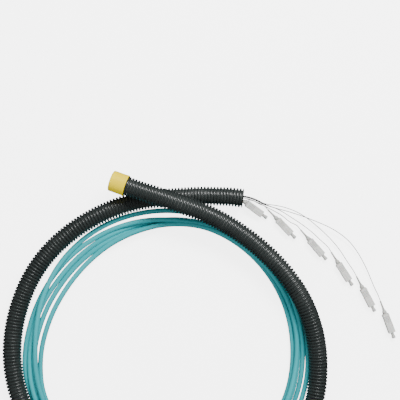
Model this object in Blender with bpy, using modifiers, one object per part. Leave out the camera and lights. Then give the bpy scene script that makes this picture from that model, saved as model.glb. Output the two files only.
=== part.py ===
"""A coiled preterminated fibre optic cable, lying flat on the floor.

A thin trunk cable is wound into a flat coil. One end runs into an open corrugated conduit,
from whose mouth six single-fibre tails with push-pull plugs fan out. The other end runs
into a second conduit, laid over the first one and closed by a push-on cap.
"""

import math

import bmesh
import bpy
import numpy as np
from mathutils import Matrix, Vector

MM = 0.001

# Clearances
CLEARANCE = 0.3 * MM
BUSH_CLEARANCE = 0.9 * MM

# Conduits
CONDUIT_OUTER_D = 24.4 * MM
CONDUIT_WALL = 2.9 * MM
CONDUIT_SIDES_RESOLUTION = 3
CONDUIT_POINT_SPACING = 17 * MM
RIB_PITCH = 4.1 * MM
RIB_DEPTH = 2.2 * MM
CONDUIT_GAP = 0.2 * MM
OPEN_INNER_END_ANGLE = -120.0

# Trunk cable and its coil
TRUNK_D = 6.5 * MM
TRUNK_POINT_SPACING = 15 * MM
COIL_LAYERS = 2
COIL_TURNS_ACROSS = 3
COIL_TURN_GAP = 0.5 * MM
COIL_INNER_R = 162.5 * MM
COIL_FAN_DEPTH = 15.2 * MM
COIL_FAN_ANGLE = 143.0
COIL_FAN_HALF_WIDTH = 48.0
COIL_CHAMFER = 3.0 * MM
COIL_STEPS = 72

# Push-on cap
CAP_LENGTH = 20.0 * MM
CAP_WALL = 0.8 * MM
CAP_END_WALL = 1.5 * MM
CAP_EDGE = 0.8 * MM
CAP_SEGMENTS = 24

# Bush in each conduit's inner end
BUSH_SPIGOT_LENGTH = 12.0 * MM
BUSH_SPIGOT_ROOM = 0.7 * MM
BUSH_FLANGE_LENGTH = 3.0 * MM
BUSH_FLANGE_STEP = 1.2 * MM
BUSH_NECK_LENGTH = 11.0 * MM
BUSH_NECK_D = 12.0 * MM
BUSH_SEGMENTS = 16

# Breakout body, where the trunk divides into the tails
BREAKOUT_ROOM = 2.3 * MM
BREAKOUT_LENGTH = 36.0 * MM
BREAKOUT_FROM_MOUTH = 112.0 * MM
BREAKOUT_CORNER = 1.5 * MM
BREAKOUT_SEGMENTS = 16
TAIL_CIRCLE_R = 3.2 * MM

# Tails
TAIL_D = 0.9 * MM
TAIL_POINT_SPACING = 10 * MM
TAIL_LEAD_IN = 7 * MM

# Push-pull plugs, measured from the back of the grip towards its front
GRIP_LENGTH = 24.9 * MM
GRIP_WIDTH = 9.0 * MM
GRIP_HEIGHT = 7.4 * MM
GRIP_WALL = 1.0 * MM
GRIP_TRAVEL_ROOM = 1.8 * MM
FRAME_RECESS = 0.5 * MM
BOOT_LENGTH = 16.5 * MM
BOOT_REAR_D = 2.8 * MM
BOOT_FRONT_D = 5.6 * MM
BOOT_COLLAR_D = 6.4 * MM
BOOT_COLLAR_LENGTH = 2.4 * MM
FERRULE_D = 2.5 * MM
FERRULE_LENGTH = 6.3 * MM
DUST_CAP_LENGTH = 7.2 * MM
DUST_CAP_D = 4.8 * MM
DUST_CAP_END = 0.8 * MM
DUST_CAP_STANDOFF = 0.3 * MM
PLUG_SEGMENTS = 12

# The capped conduit's route, from the cap's closed face down to the hidden inner end, in millimetres
CAPPED_ROUTE = (
    (-67.0, 217.5, 34.0),
    (-48.2, 210.8, 35.2),
    (-33.1, 205.4, 36.2),
    (-11.2, 198.5, 37.4),
    (19.9, 188.0, 37.2),
    (51.7, 176.1, 33.6),
    (84.5, 158.8, 29.4),
    (119.9, 133.0, 27.0),
    (146.2, 107.3, 26.2),
    (163.5, 85.1, 26.1),
    (176.0, 64.3, 24.4),
    (185.4, 42.3, 21.2),
    (192.9, 16.8, 17.2),
    (197.0, -19.3, 13.0),
    (193.8, -57.8, 12.2),
    (183.5, -92.0, 12.2),
    (167.0, -123.0, 12.2),
    (145.0, -150.0, 12.2),
    (118.0, -171.0, 12.2),
    (88.0, -185.0, 12.2),
)

# The open conduit's straight stretch, from the top of its turn to the mouth, in millimetres
OPEN_STRAIGHT = (
    (0.0, 195.4, 12.2),
    (23.1, 196.9, 12.2),
    (45.0, 197.9, 12.2),
    (64.3, 197.7, 12.2),
    (83.6, 196.9, 12.2),
    (100.3, 195.1, 12.2),
)

# How far the trunk runs into the capped conduit
CAPPED_TRUNK_END = 90 * MM

# The trunk's free stretches beside the coil, in millimetres
LEAD_FROM_CAPPED = (
    (52.0, -198.0, 9.6),
    (34.0, -196.5, 5.6),
    (17.0, -191.0, 3.5),
)
LEAD_TO_OPEN = (
    (-36.0, -185.5, 10.3),
    (-55.0, -184.0, 11.4),
)
LEAD_START_ANGLES = (-90.0, -92.0, -95.0)
LEAD_END_ANGLES = (-86.0, -89.0, -92.0, -95.0)

# Plugs: the grip's centre in millimetres, its heading and how far its nose dips, in degrees
PLUGS = (
    ((115.5, 181.2, 6.1), -35.6, 10.0),
    ((154.5, 158.0, 3.7), -46.0, 0.0),
    ((195.5, 131.0, 3.7), -49.0, 0.0),
    ((231.5, 99.3, 3.7), -57.6, 0.0),
    ((262.0, 66.5, 3.7), -62.4, 0.0),
    ((289.4, 33.0, 3.7), -69.7, 0.0),
)

# Where each tail starts on the breakout's front face, in degrees round it
TAIL_START_ANGLES = (60.0, 200.0, 240.0, 280.0, 320.0, 20.0)

# The stretch that four of the tails share on their way out of the mouth, in millimetres
SHARED_TAIL_ROUTE = (
    (64.3, 197.7, 8.6),
    (83.6, 197.6, 5.4),
    (101.6, 197.2, 4.9),
    (112.3, 194.7, 4.2),
    (120.1, 191.5, 3.9),
    (127.9, 187.6, 3.7),
)

# Each sharing tail's place in that bundle: sideways and up, in millimetres
TAIL_OFFSETS = {3: (-2.0, 0.0), 4: (-0.6, 0.0), 5: (0.9, 0.0), 6: (0.1, 1.7)}

# The rest of each tail's route up to its plug, in millimetres
TAIL_ROUTES = {
    1: ((50.0, 199.5, 12.9), (68.0, 202.6, 12.9)),
    2: (
        (64.3, 194.2, 8.6),
        (83.6, 193.4, 5.6),
        (101.6, 192.4, 4.7),
        (108.8, 192.8, 3.0),
        (115.6, 191.2, 2.0),
        (123.0, 187.2, 2.0),
    ),
    3: ((149.9, 173.4, 3.7), (161.6, 164.3, 3.7)),
    4: (
        (143.2, 181.9, 3.7),
        (153.2, 176.7, 3.7),
        (165.7, 168.7, 3.7),
        (179.3, 159.6, 3.7),
        (190.6, 150.7, 3.7),
        (199.3, 142.6, 3.7),
    ),
    5: (
        (147.9, 184.9, 3.7),
        (156.4, 182.7, 3.7),
        (168.3, 178.3, 3.7),
        (179.6, 172.1, 3.7),
        (192.8, 162.1, 3.7),
        (207.9, 148.6, 3.7),
        (219.1, 136.8, 3.7),
        (226.7, 127.1, 3.7),
        (235.8, 113.1, 3.7),
    ),
    6: (
        (141.8, 182.6, 7.2),
        (159.8, 177.6, 8.0),
        (174.0, 173.1, 8.0),
        (186.9, 168.3, 8.0),
        (199.8, 163.1, 7.6),
        (212.8, 157.2, 6.8),
        (227.5, 148.2, 5.8),
        (238.6, 138.6, 5.0),
        (248.9, 125.3, 4.4),
        (259.8, 105.7, 3.9),
        (270.9, 79.7, 3.7),
    ),
}

# Sizes that follow from the ones above
CONDUIT_BORE_D = CONDUIT_OUTER_D - 2 * CONDUIT_WALL
BUSH_SPIGOT_D = CONDUIT_BORE_D - 2 * BUSH_SPIGOT_ROOM
BUSH_FLANGE_D = CONDUIT_OUTER_D - 2 * BUSH_FLANGE_STEP
BREAKOUT_D = CONDUIT_BORE_D - 2 * BREAKOUT_ROOM
CAP_BORE_D = CONDUIT_OUTER_D + 2 * CLEARANCE
CAP_OUTER_D = CAP_BORE_D + 2 * CAP_WALL
COIL_HEIGHT = COIL_LAYERS * TRUNK_D + (COIL_LAYERS - 1) * CLEARANCE
COIL_WIDTH = COIL_TURNS_ACROSS * TRUNK_D + (COIL_TURNS_ACROSS - 1) * COIL_TURN_GAP
COIL_OUTER_R = COIL_INNER_R + COIL_WIDTH
OPEN_TURN_R = COIL_OUTER_R + CONDUIT_GAP + CONDUIT_OUTER_D / 2
FRAME_WIDTH = GRIP_WIDTH - 2 * GRIP_WALL - 2 * CLEARANCE
FRAME_HEIGHT = GRIP_HEIGHT - 2 * GRIP_WALL - 2 * CLEARANCE
FRAME_FRONT = GRIP_LENGTH - FRAME_RECESS

# The routes are written for a conduit whose turn passes through the straight stretch's first point
LAYOUT_SCALE = OPEN_TURN_R / (OPEN_STRAIGHT[0][1] * MM)
LIFT_SCALE = CONDUIT_OUTER_D / 2 / (OPEN_STRAIGHT[0][2] * MM)

# Colours: red, green, blue, roughness
BLACK_PLASTIC = ((0.020, 0.023, 0.024), 0.45)
AQUA_JACKET = ((0.16, 0.52, 0.56), 0.50)
YELLOW_PLASTIC = ((0.80, 0.62, 0.05), 0.40)
PALE_PLASTIC = ((0.66, 0.66, 0.62), 0.45)
GREY_FIBRE = ((0.40, 0.40, 0.39), 0.50)
ZIRCONIA = ((0.85, 0.85, 0.82), 0.20)
GREY_RUBBER = ((0.42, 0.43, 0.43), 0.60)


def clear_scene():
    """Remove every object of the startup scene."""
    for found in list(bpy.data.objects):
        bpy.data.objects.remove(found, do_unlink=True)


def make_collection(name):
    """Add a collection to the scene."""
    collection = bpy.data.collections.new(name)
    bpy.context.scene.collection.children.link(collection)
    return collection


def make_material(name, finish):
    """A Principled material from a colour and a roughness."""
    colour, roughness = finish
    material = bpy.data.materials.new(name)
    material.use_nodes = True
    shader = material.node_tree.nodes["Principled BSDF"]
    shader.inputs["Base Color"].default_value = (*colour, 1.0)
    shader.inputs["Roughness"].default_value = roughness
    material.diffuse_color = (*colour, 1.0)
    return material


def metres(points, lift=1.0):
    """Points that are written in millimetres, as an array in metres, spread as wide as the coil is."""
    return np.array(points, dtype=float) * MM * np.array((LAYOUT_SCALE, LAYOUT_SCALE, lift))


def on_circle(radius, degrees, height):
    """A point at an angle round the coil's centre."""
    angle = math.radians(degrees)
    return np.array((radius * math.cos(angle), radius * math.sin(angle), height))


def smooth_route(points, spacing):
    """A centripetal Catmull-Rom curve through the points, cut into steps of about the spacing."""
    points = np.asarray(points, dtype=float)
    ends = (2 * points[0] - points[1], 2 * points[-1] - points[-2])
    padded = np.vstack((ends[0], points, ends[1]))
    knots = np.concatenate(([0.0], np.cumsum(np.sqrt(np.linalg.norm(np.diff(padded, axis=0), axis=1)))))
    fine = []
    for index in range(1, len(padded) - 2):
        k0, k1, k2, k3 = knots[index - 1 : index + 3]
        p0, p1, p2, p3 = padded[index - 1 : index + 3]
        t = np.linspace(k1, k2, 24, endpoint=False)[:, None]
        a1 = p0 + (p1 - p0) * (t - k0) / (k1 - k0)
        a2 = p1 + (p2 - p1) * (t - k1) / (k2 - k1)
        a3 = p2 + (p3 - p2) * (t - k2) / (k3 - k2)
        b1 = a1 + (a2 - a1) * (t - k0) / (k2 - k0)
        b2 = a2 + (a3 - a2) * (t - k1) / (k3 - k1)
        fine.append(b1 + (b2 - b1) * (t - k1) / (k2 - k1))
    fine.append(padded[-2][None, :])
    return resample(np.vstack(fine), spacing)


def lengths_along(route):
    """The distance of each point from the route's start."""
    return np.concatenate(([0.0], np.cumsum(np.linalg.norm(np.diff(route, axis=0), axis=1))))


def resample(route, spacing):
    """The same route with even steps."""
    along = lengths_along(route)
    steps = max(2, round(along[-1] / spacing))
    wanted = np.linspace(0.0, along[-1], steps + 1)
    return np.column_stack([np.interp(wanted, along, route[:, axis]) for axis in range(3)])


def stretch(route, start, end, spacing):
    """The part of a route between two distances from its start."""
    along = lengths_along(route)
    steps = max(2, round((end - start) / spacing))
    wanted = np.linspace(start, end, steps + 1)
    return np.column_stack([np.interp(wanted, along, route[:, axis]) for axis in range(3)])


def facing(point, direction):
    """A matrix at the point whose X axis runs along the direction and whose Z axis leans up."""
    forward = Vector(direction).normalized()
    side = Vector((0.0, 0.0, 1.0)).cross(forward).normalized()
    up = forward.cross(side)
    turn = Matrix((forward, side, up)).transposed().to_4x4()
    return Matrix.Translation(Vector(point)) @ turn


def finish_object(found, material, smooth=True):
    """Give an object its material and its shading."""
    found.data.materials.clear()
    found.data.materials.append(material)
    if smooth:
        found.data.shade_smooth()
        found.data.set_sharp_from_angle(angle=math.radians(35))
    return found


def make_tube(name, route, diameter, resolution, material, collection, capped=True, narrowing=0.0):
    """A round tube along a route, as a bevelled curve; every other point may be narrower."""
    curve = bpy.data.curves.new(name, "CURVE")
    curve.dimensions = "3D"
    curve.bevel_depth = diameter / 2
    curve.bevel_resolution = resolution
    curve.use_fill_caps = capped
    spline = curve.splines.new("POLY")
    spline.points.add(len(route) - 1)
    for index, (point, place) in enumerate(zip(spline.points, route)):
        point.co = (*place, 1.0)
        point.radius = 1.0 - narrowing * (index % 2) / (diameter / 2)
    curve.materials.append(material)
    tube = bpy.data.objects.new(name, curve)
    collection.objects.link(tube)
    return tube


def add_skin(shape, route, diameter, narrowing, material, collection):
    """Add the open skin of a tube along a route to a mesh that is being built."""
    sides = CONDUIT_SIDES_RESOLUTION
    guide = make_tube("skin", route, diameter, sides, material, collection, False, narrowing)
    bpy.context.view_layer.update()
    graph = bpy.context.evaluated_depsgraph_get()
    mesh = bpy.data.meshes.new_from_object(guide.evaluated_get(graph))
    shape.from_mesh(mesh)
    bpy.data.objects.remove(guide, do_unlink=True)


def make_conduit(name, route, material, collection):
    """A corrugated conduit: a ribbed skin with a crest at each end, a smooth bore and two end faces."""
    ribs = round(lengths_along(route)[-1] / RIB_PITCH)
    crests_and_grooves = resample(route, lengths_along(route)[-1] / (2 * ribs))
    shape = bmesh.new()
    add_skin(shape, resample(route, CONDUIT_POINT_SPACING), CONDUIT_BORE_D, 0.0, material, collection)
    bmesh.ops.reverse_faces(shape, faces=shape.faces)
    add_skin(shape, crests_and_grooves, CONDUIT_OUTER_D, RIB_DEPTH, material, collection)
    for end in (Vector(route[0]), Vector(route[-1])):
        rims = [edge for edge in shape.edges if edge.is_boundary]
        near = [edge for edge in rims if (edge.verts[0].co - end).length < CONDUIT_OUTER_D]
        bmesh.ops.bridge_loops(shape, edges=near)
    bmesh.ops.recalc_face_normals(shape, faces=shape.faces)
    mesh = bpy.data.meshes.new(name)
    shape.to_mesh(mesh)
    shape.free()
    conduit = bpy.data.objects.new(name, mesh)
    collection.objects.link(conduit)
    return finish_object(conduit, material)


def make_turned(name, profile, segments, placement, material, collection):
    """A turned piece along X: the profile is (distance along X, radius), from the front back.

    A profile whose ends lie on the axis is a solid one, and any other is closed into a ring.
    """
    mesh = bpy.data.meshes.new(name)
    points = [(radius, 0.0, along) for along, radius in profile]
    edges = [(index, index + 1) for index in range(len(points) - 1)]
    if profile[0][1] > 0:
        edges.append((len(points) - 1, 0))
    mesh.from_pydata(points, edges, [])
    piece = bpy.data.objects.new(name, mesh)
    collection.objects.link(piece)
    screw = piece.modifiers.new("turn", "SCREW")
    screw.axis = "Z"
    screw.angle = 2 * math.pi
    screw.steps = segments
    screw.render_steps = segments
    screw.use_merge_vertices = True
    screw.merge_threshold = 0.00001
    screw.use_smooth_shade = True
    piece.matrix_world = placement @ Matrix.Rotation(math.pi / 2, 4, "Y")
    piece.data.materials.append(material)
    return piece


def make_box(name, size, centre, placement, material, collection):
    """A box of a size about a centre, in the placement's own axes."""
    mesh = bpy.data.meshes.new(name)
    shape = bmesh.new()
    bmesh.ops.create_cube(shape, size=1.0)
    bmesh.ops.scale(shape, vec=size, verts=shape.verts)
    bmesh.ops.translate(shape, vec=centre, verts=shape.verts)
    shape.to_mesh(mesh)
    shape.free()
    mesh.materials.append(material)
    box = bpy.data.objects.new(name, mesh)
    box.matrix_world = placement
    collection.objects.link(box)
    return box


def make_sleeve_box(name, placement, material, collection):
    """A plug's grip: a box with open ends, thickened inwards."""
    mesh = bpy.data.meshes.new(name)
    shape = bmesh.new()
    bmesh.ops.create_cube(shape, size=1.0)
    ends = [face for face in shape.faces if abs(face.normal.x) > 0.5]
    bmesh.ops.delete(shape, geom=ends, context="FACES_ONLY")
    bmesh.ops.scale(shape, vec=(GRIP_LENGTH, GRIP_WIDTH, GRIP_HEIGHT), verts=shape.verts)
    bmesh.ops.translate(shape, vec=(GRIP_LENGTH / 2, 0.0, 0.0), verts=shape.verts)
    shape.to_mesh(mesh)
    shape.free()
    mesh.materials.append(material)
    sleeve = bpy.data.objects.new(name, mesh)
    sleeve.matrix_world = placement
    collection.objects.link(sleeve)
    wall = sleeve.modifiers.new("wall", "SOLIDIFY")
    wall.thickness = GRIP_WALL
    wall.offset = -1.0
    wall.use_even_offset = True
    wall.use_rim = True
    return sleeve


def coil_inner_radius(degrees):
    """The coil's inner edge: round, but for one stretch where the turns fan out inwards."""
    away = (degrees - COIL_FAN_ANGLE + 180.0) % 360.0 - 180.0
    return COIL_INNER_R - COIL_FAN_DEPTH * math.exp(-((away / COIL_FAN_HALF_WIDTH) ** 2))


def make_coil(material, collection):
    """The outer shape of the wound trunk: a chamfered section carried round the centre."""
    shape = bmesh.new()
    rings = []
    for step in range(COIL_STEPS):
        degrees = 360.0 * step / COIL_STEPS
        inner = coil_inner_radius(degrees)
        section = (
            (inner + COIL_CHAMFER, 0.0),
            (COIL_OUTER_R - COIL_CHAMFER, 0.0),
            (COIL_OUTER_R, COIL_CHAMFER),
            (COIL_OUTER_R, COIL_HEIGHT - COIL_CHAMFER),
            (COIL_OUTER_R - COIL_CHAMFER, COIL_HEIGHT),
            (inner + COIL_CHAMFER, COIL_HEIGHT),
            (inner, COIL_HEIGHT - COIL_CHAMFER),
            (inner, COIL_CHAMFER),
        )
        rings.append([shape.verts.new(on_circle(radius, degrees, height)) for radius, height in section])
    for step, ring in enumerate(rings):
        following = rings[(step + 1) % COIL_STEPS]
        for index in range(len(ring)):
            beside = (index + 1) % len(ring)
            shape.faces.new((ring[index], following[index], following[beside], ring[beside]))
    bmesh.ops.recalc_face_normals(shape, faces=shape.faces)
    mesh = bpy.data.meshes.new("trunk_coil")
    shape.to_mesh(mesh)
    shape.free()
    coil = bpy.data.objects.new("trunk_coil", mesh)
    collection.objects.link(coil)
    return finish_object(coil, material)


def capped_axis():
    """The cap's closed face and the direction from it into the capped conduit."""
    face, beside = metres(CAPPED_ROUTE[:2], LIFT_SCALE)
    inwards = (beside - face) / np.linalg.norm(beside - face)
    return face, inwards


def capped_conduit_route():
    """The capped conduit's centre line in fine steps, from inside the cap to its hidden inner end."""
    face, inwards = capped_axis()
    points = metres(CAPPED_ROUTE, LIFT_SCALE)
    points[0] = face + inwards * (CAP_END_WALL + CLEARANCE)
    return smooth_route(points, RIB_PITCH / 2)


def open_conduit_route():
    """The open conduit's centre line in fine steps, from its hidden inner end round to the mouth."""
    height = CONDUIT_OUTER_D / 2
    top = 90.0
    turn = top - (OPEN_INNER_END_ANGLE + 360.0)
    steps = round(abs(math.radians(turn)) * OPEN_TURN_R / CONDUIT_POINT_SPACING)
    angles = np.linspace(OPEN_INNER_END_ANGLE + 360.0, top, steps + 1)
    arc = np.array([on_circle(OPEN_TURN_R, degrees, height) for degrees in angles[:-1]])
    straight = metres(OPEN_STRAIGHT, LIFT_SCALE)
    return smooth_route(np.vstack((arc, straight)), RIB_PITCH / 2)


def make_bush(name, end, direction, material, collection):
    """The bush in a conduit's inner end; the direction points out of the conduit."""
    bore = TRUNK_D / 2 + BUSH_CLEARANCE
    neck_end = CLEARANCE + BUSH_FLANGE_LENGTH + BUSH_NECK_LENGTH
    profile = (
        (neck_end, bore),
        (neck_end, BUSH_NECK_D / 2),
        (CLEARANCE + BUSH_FLANGE_LENGTH, BUSH_NECK_D / 2),
        (CLEARANCE + BUSH_FLANGE_LENGTH, BUSH_FLANGE_D / 2),
        (CLEARANCE, BUSH_FLANGE_D / 2),
        (CLEARANCE, BUSH_SPIGOT_D / 2),
        (-BUSH_SPIGOT_LENGTH, BUSH_SPIGOT_D / 2),
        (-BUSH_SPIGOT_LENGTH, bore),
    )
    return make_turned(name, profile, BUSH_SEGMENTS, facing(end, direction), material, collection)


def past_bush(end, before):
    """Where the trunk comes out of the bush in a conduit's end."""
    outwards = (end - before) / np.linalg.norm(end - before)
    return end + outwards * (CLEARANCE + BUSH_FLANGE_LENGTH + BUSH_NECK_LENGTH + TRUNK_D / 2)


def make_cap(material, collection):
    """The push-on cap: a cup with a rounded closed end."""
    face, inwards = capped_axis()
    outer = CAP_OUTER_D / 2
    bore = CAP_BORE_D / 2
    profile = (
        (0.0, 0.0),
        (0.0, outer - CAP_EDGE),
        (-CAP_EDGE * 0.3, outer - CAP_EDGE * 0.3),
        (-CAP_EDGE, outer),
        (-CAP_LENGTH + CAP_EDGE / 2, outer),
        (-CAP_LENGTH, outer - CAP_EDGE / 2),
        (-CAP_LENGTH, bore),
        (-CAP_END_WALL, bore),
        (-CAP_END_WALL, 0.0),
    )
    placement = facing(face, -inwards)
    return make_turned("end_cap", profile, CAP_SEGMENTS, placement, material, collection)


def make_breakout(centre, direction, material, collection):
    """The body where the trunk divides into its tails."""
    half = BREAKOUT_LENGTH / 2
    radius = BREAKOUT_D / 2
    profile = (
        (half, 0.0),
        (half, radius - BREAKOUT_CORNER),
        (half - BREAKOUT_CORNER, radius),
        (BREAKOUT_CORNER - half, radius),
        (-half, radius - BREAKOUT_CORNER),
        (-half, 0.0),
    )
    placement = facing(centre, direction)
    return make_turned("breakout_body", profile, BREAKOUT_SEGMENTS, placement, material, collection)


def plug_placement(index):
    """A matrix at the back of a plug's grip, with X towards its front."""
    centre, heading, dip = PLUGS[index]
    turn = Matrix.Rotation(math.radians(heading), 4, "Z") @ Matrix.Rotation(math.radians(dip), 4, "Y")
    back = Matrix.Translation(Vector((-GRIP_LENGTH / 2, 0.0, 0.0)))
    return Matrix.Translation(Vector(metres(centre))) @ turn @ back


def make_boot(number, placement, material, collection):
    """A tapered boot with a collar behind the grip."""
    front = -GRIP_TRAVEL_ROOM
    collar = front - BOOT_COLLAR_LENGTH
    rear = front - BOOT_LENGTH
    profile = (
        (front, 0.0),
        (front, BOOT_COLLAR_D / 2),
        (collar, BOOT_COLLAR_D / 2),
        (collar, BOOT_FRONT_D / 2),
        (rear, BOOT_REAR_D / 2),
        (rear, 0.0),
    )
    return make_turned(f"boot_{number}", profile, PLUG_SEGMENTS, placement, material, collection)


def make_frame(number, placement, material, collection):
    """The plug's inner frame, which runs through the grip and stops short of the boot."""
    back = -GRIP_TRAVEL_ROOM + CLEARANCE
    size = (FRAME_FRONT - back, FRAME_WIDTH, FRAME_HEIGHT)
    centre = ((FRAME_FRONT + back) / 2, 0.0, 0.0)
    return make_box(f"plug_frame_{number}", size, centre, placement, material, collection)


def make_ferrule(number, placement, material, collection):
    """The ferrule that stands out of the frame's front."""
    back = FRAME_FRONT + CLEARANCE
    profile = (
        (back + FERRULE_LENGTH, 0.0),
        (back + FERRULE_LENGTH, FERRULE_D / 2),
        (back, FERRULE_D / 2),
        (back, 0.0),
    )
    return make_turned(f"ferrule_{number}", profile, PLUG_SEGMENTS, placement, material, collection)


def make_dust_cap(number, placement, material, collection):
    """The small cup pushed over the ferrule."""
    back = FRAME_FRONT + DUST_CAP_STANDOFF
    front = back + DUST_CAP_LENGTH + DUST_CAP_END
    bore = FERRULE_D / 2 + CLEARANCE
    floor = FRAME_FRONT + CLEARANCE + FERRULE_LENGTH + CLEARANCE
    profile = (
        (front, 0.0),
        (front, DUST_CAP_D / 2 - DUST_CAP_END / 2),
        (front - DUST_CAP_END / 2, DUST_CAP_D / 2),
        (back, DUST_CAP_D / 2),
        (back, bore),
        (floor, bore),
        (floor, 0.0),
    )
    return make_turned(f"dust_cap_{number}", profile, PLUG_SEGMENTS, placement, material, collection)


def tail_route(number, face, forward, plug):
    """A tail's points, from the breakout's front face to its boot."""
    side = np.array((-forward[1], forward[0], 0.0))
    side /= np.linalg.norm(side)
    angle = math.radians(TAIL_START_ANGLES[number - 1])
    start = face + TAIL_CIRCLE_R * (side * math.cos(angle) + np.array((0.0, 0.0, math.sin(angle))))
    points = [start + forward * CLEARANCE, start + forward * TAIL_LEAD_IN]
    if number in TAIL_OFFSETS:
        shared = metres(SHARED_TAIL_ROUTE)
        along = np.gradient(shared, axis=0)
        aside = np.column_stack((-along[:, 1], along[:, 0], np.zeros(len(along))))
        aside /= np.linalg.norm(aside, axis=1)[:, None]
        sideways, up = TAIL_OFFSETS[number]
        points.extend(shared + aside * sideways * MM + np.array((0.0, 0.0, up * MM)))
    points.extend(metres(TAIL_ROUTES[number]))
    entry = -GRIP_TRAVEL_ROOM - BOOT_LENGTH - CLEARANCE
    points.append(np.array(plug @ Vector((entry - TAIL_LEAD_IN, 0.0, 0.0))))
    points.append(np.array(plug @ Vector((entry, 0.0, 0.0))))
    return smooth_route(points, TAIL_POINT_SPACING)


def set_origin_on_floor(root, left_out):
    """Move the whole object so that the origin is under the middle of all but the cords."""
    bpy.context.view_layer.update()
    graph = bpy.context.evaluated_depsgraph_get()
    corners = []
    for found in bpy.context.view_layer.objects:
        if found.type == "EMPTY" or found.name.startswith(left_out):
            continue
        evaluated = found.evaluated_get(graph)
        mesh = evaluated.to_mesh()
        points = np.empty(len(mesh.vertices) * 3)
        mesh.vertices.foreach_get("co", points)
        world = np.array(evaluated.matrix_world)
        corners.append(points.reshape(-1, 3) @ world[:3, :3].T + world[:3, 3])
        evaluated.to_mesh_clear()
    corners = np.vstack(corners)
    low, high = corners.min(axis=0), corners.max(axis=0)
    for found in bpy.data.objects:
        if found is not root:
            placed = found.matrix_world.copy()
            found.parent = root
            found.matrix_world = placed
    root.location = (-(low[0] + high[0]) / 2, -(low[1] + high[1]) / 2, -low[2])
    bpy.context.view_layer.update()


def build():
    """Make every piece."""
    clear_scene()
    collection = make_collection("preterminated_fibre_cable")
    black = make_material("black_plastic", BLACK_PLASTIC)
    aqua = make_material("aqua_jacket", AQUA_JACKET)
    yellow = make_material("yellow_plastic", YELLOW_PLASTIC)
    pale = make_material("pale_plastic", PALE_PLASTIC)
    fibre = make_material("grey_fibre", GREY_FIBRE)
    zirconia = make_material("zirconia", ZIRCONIA)
    rubber = make_material("grey_rubber", GREY_RUBBER)

    make_coil(aqua, collection)

    capped_fine = capped_conduit_route()
    opened_fine = open_conduit_route()
    make_conduit("capped_conduit", capped_fine, black, collection)
    make_conduit("open_conduit", opened_fine, black, collection)
    capped = resample(capped_fine, CONDUIT_POINT_SPACING)
    opened = resample(opened_fine, CONDUIT_POINT_SPACING)
    make_cap(yellow, collection)
    make_bush("capped_conduit_bush", capped[-1], capped[-1] - capped[-2], black, collection)
    make_bush("open_conduit_bush", opened[0], opened[0] - opened[1], black, collection)

    opened_length = lengths_along(opened)[-1]
    breakout_at = opened_length - BREAKOUT_FROM_MOUTH
    half = BREAKOUT_LENGTH / 2
    ends = stretch(opened, breakout_at - half, breakout_at + half, BREAKOUT_LENGTH)
    forward = (ends[-1] - ends[0]) / np.linalg.norm(ends[-1] - ends[0])
    centre = (ends[0] + ends[-1]) / 2
    make_breakout(centre, forward, black, collection)

    beside_coil = COIL_OUTER_R + CLEARANCE + TRUNK_D / 2
    low = TRUNK_D / 2
    high = low + TRUNK_D + CLEARANCE
    capped_length = lengths_along(capped)[-1]
    inside_capped = stretch(capped, CAPPED_TRUNK_END, capped_length, 2 * TRUNK_POINT_SPACING)
    out_of_bush = [past_bush(capped[-1], capped[-2])]
    along_coil = [on_circle(beside_coil, degrees, low) for degrees in LEAD_START_ANGLES]
    first = np.vstack((inside_capped, out_of_bush, metres(LEAD_FROM_CAPPED), along_coil))
    make_tube("trunk_lead_capped", smooth_route(first, TRUNK_POINT_SPACING), TRUNK_D, 2, aqua, collection)

    along_coil = [on_circle(beside_coil, degrees, high) for degrees in LEAD_END_ANGLES]
    breakout_rear = centre - forward * (BREAKOUT_LENGTH / 2 + CLEARANCE)
    to_breakout = breakout_at - BREAKOUT_LENGTH / 2 - 3 * TRUNK_POINT_SPACING
    inside_open = stretch(opened, 0.0, to_breakout, 2 * TRUNK_POINT_SPACING)
    entry = [breakout_rear - forward * TRUNK_POINT_SPACING, breakout_rear]
    out_of_bush = [past_bush(opened[0], opened[1])]
    second = np.vstack((along_coil, metres(LEAD_TO_OPEN), out_of_bush, inside_open, entry))
    make_tube("trunk_lead_open", smooth_route(second, TRUNK_POINT_SPACING), TRUNK_D, 2, aqua, collection)

    face = centre + forward * BREAKOUT_LENGTH / 2
    for number in range(1, len(PLUGS) + 1):
        plug = plug_placement(number - 1)
        route = tail_route(number, face, forward, plug)
        make_tube(f"tail_{number}", route, TAIL_D, 2, fibre, collection)
        make_boot(number, plug, pale, collection)
        make_sleeve_box(f"grip_{number}", plug, pale, collection)
        make_frame(number, plug, pale, collection)
        make_ferrule(number, plug, zirconia, collection)
        make_dust_cap(number, plug, rubber, collection)

    root = bpy.data.objects.new("cable_origin", None)
    collection.objects.link(root)
    on_cords = ("tail_", "boot_", "grip_", "plug_frame_", "ferrule_", "dust_cap_")
    set_origin_on_floor(root, on_cords)


build()
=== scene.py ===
"""Looks of a coiled preterminated fibre optic cable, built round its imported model.

The trunk is one long cable wound in five turns. Each of its ends runs into a corrugated
conduit: one is closed by a push-on cap, and out of the other come six thin tails that end
in push-pull plugs with dust caps. Lengths are in metres, angles in degrees, +Z is up.
"""

import logging
import math
from collections.abc import Mapping, Sequence
from dataclasses import dataclass, field
from enum import Enum

import bpy
import numpy as np
from mathutils import Matrix, Vector
from numpy.typing import NDArray


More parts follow.
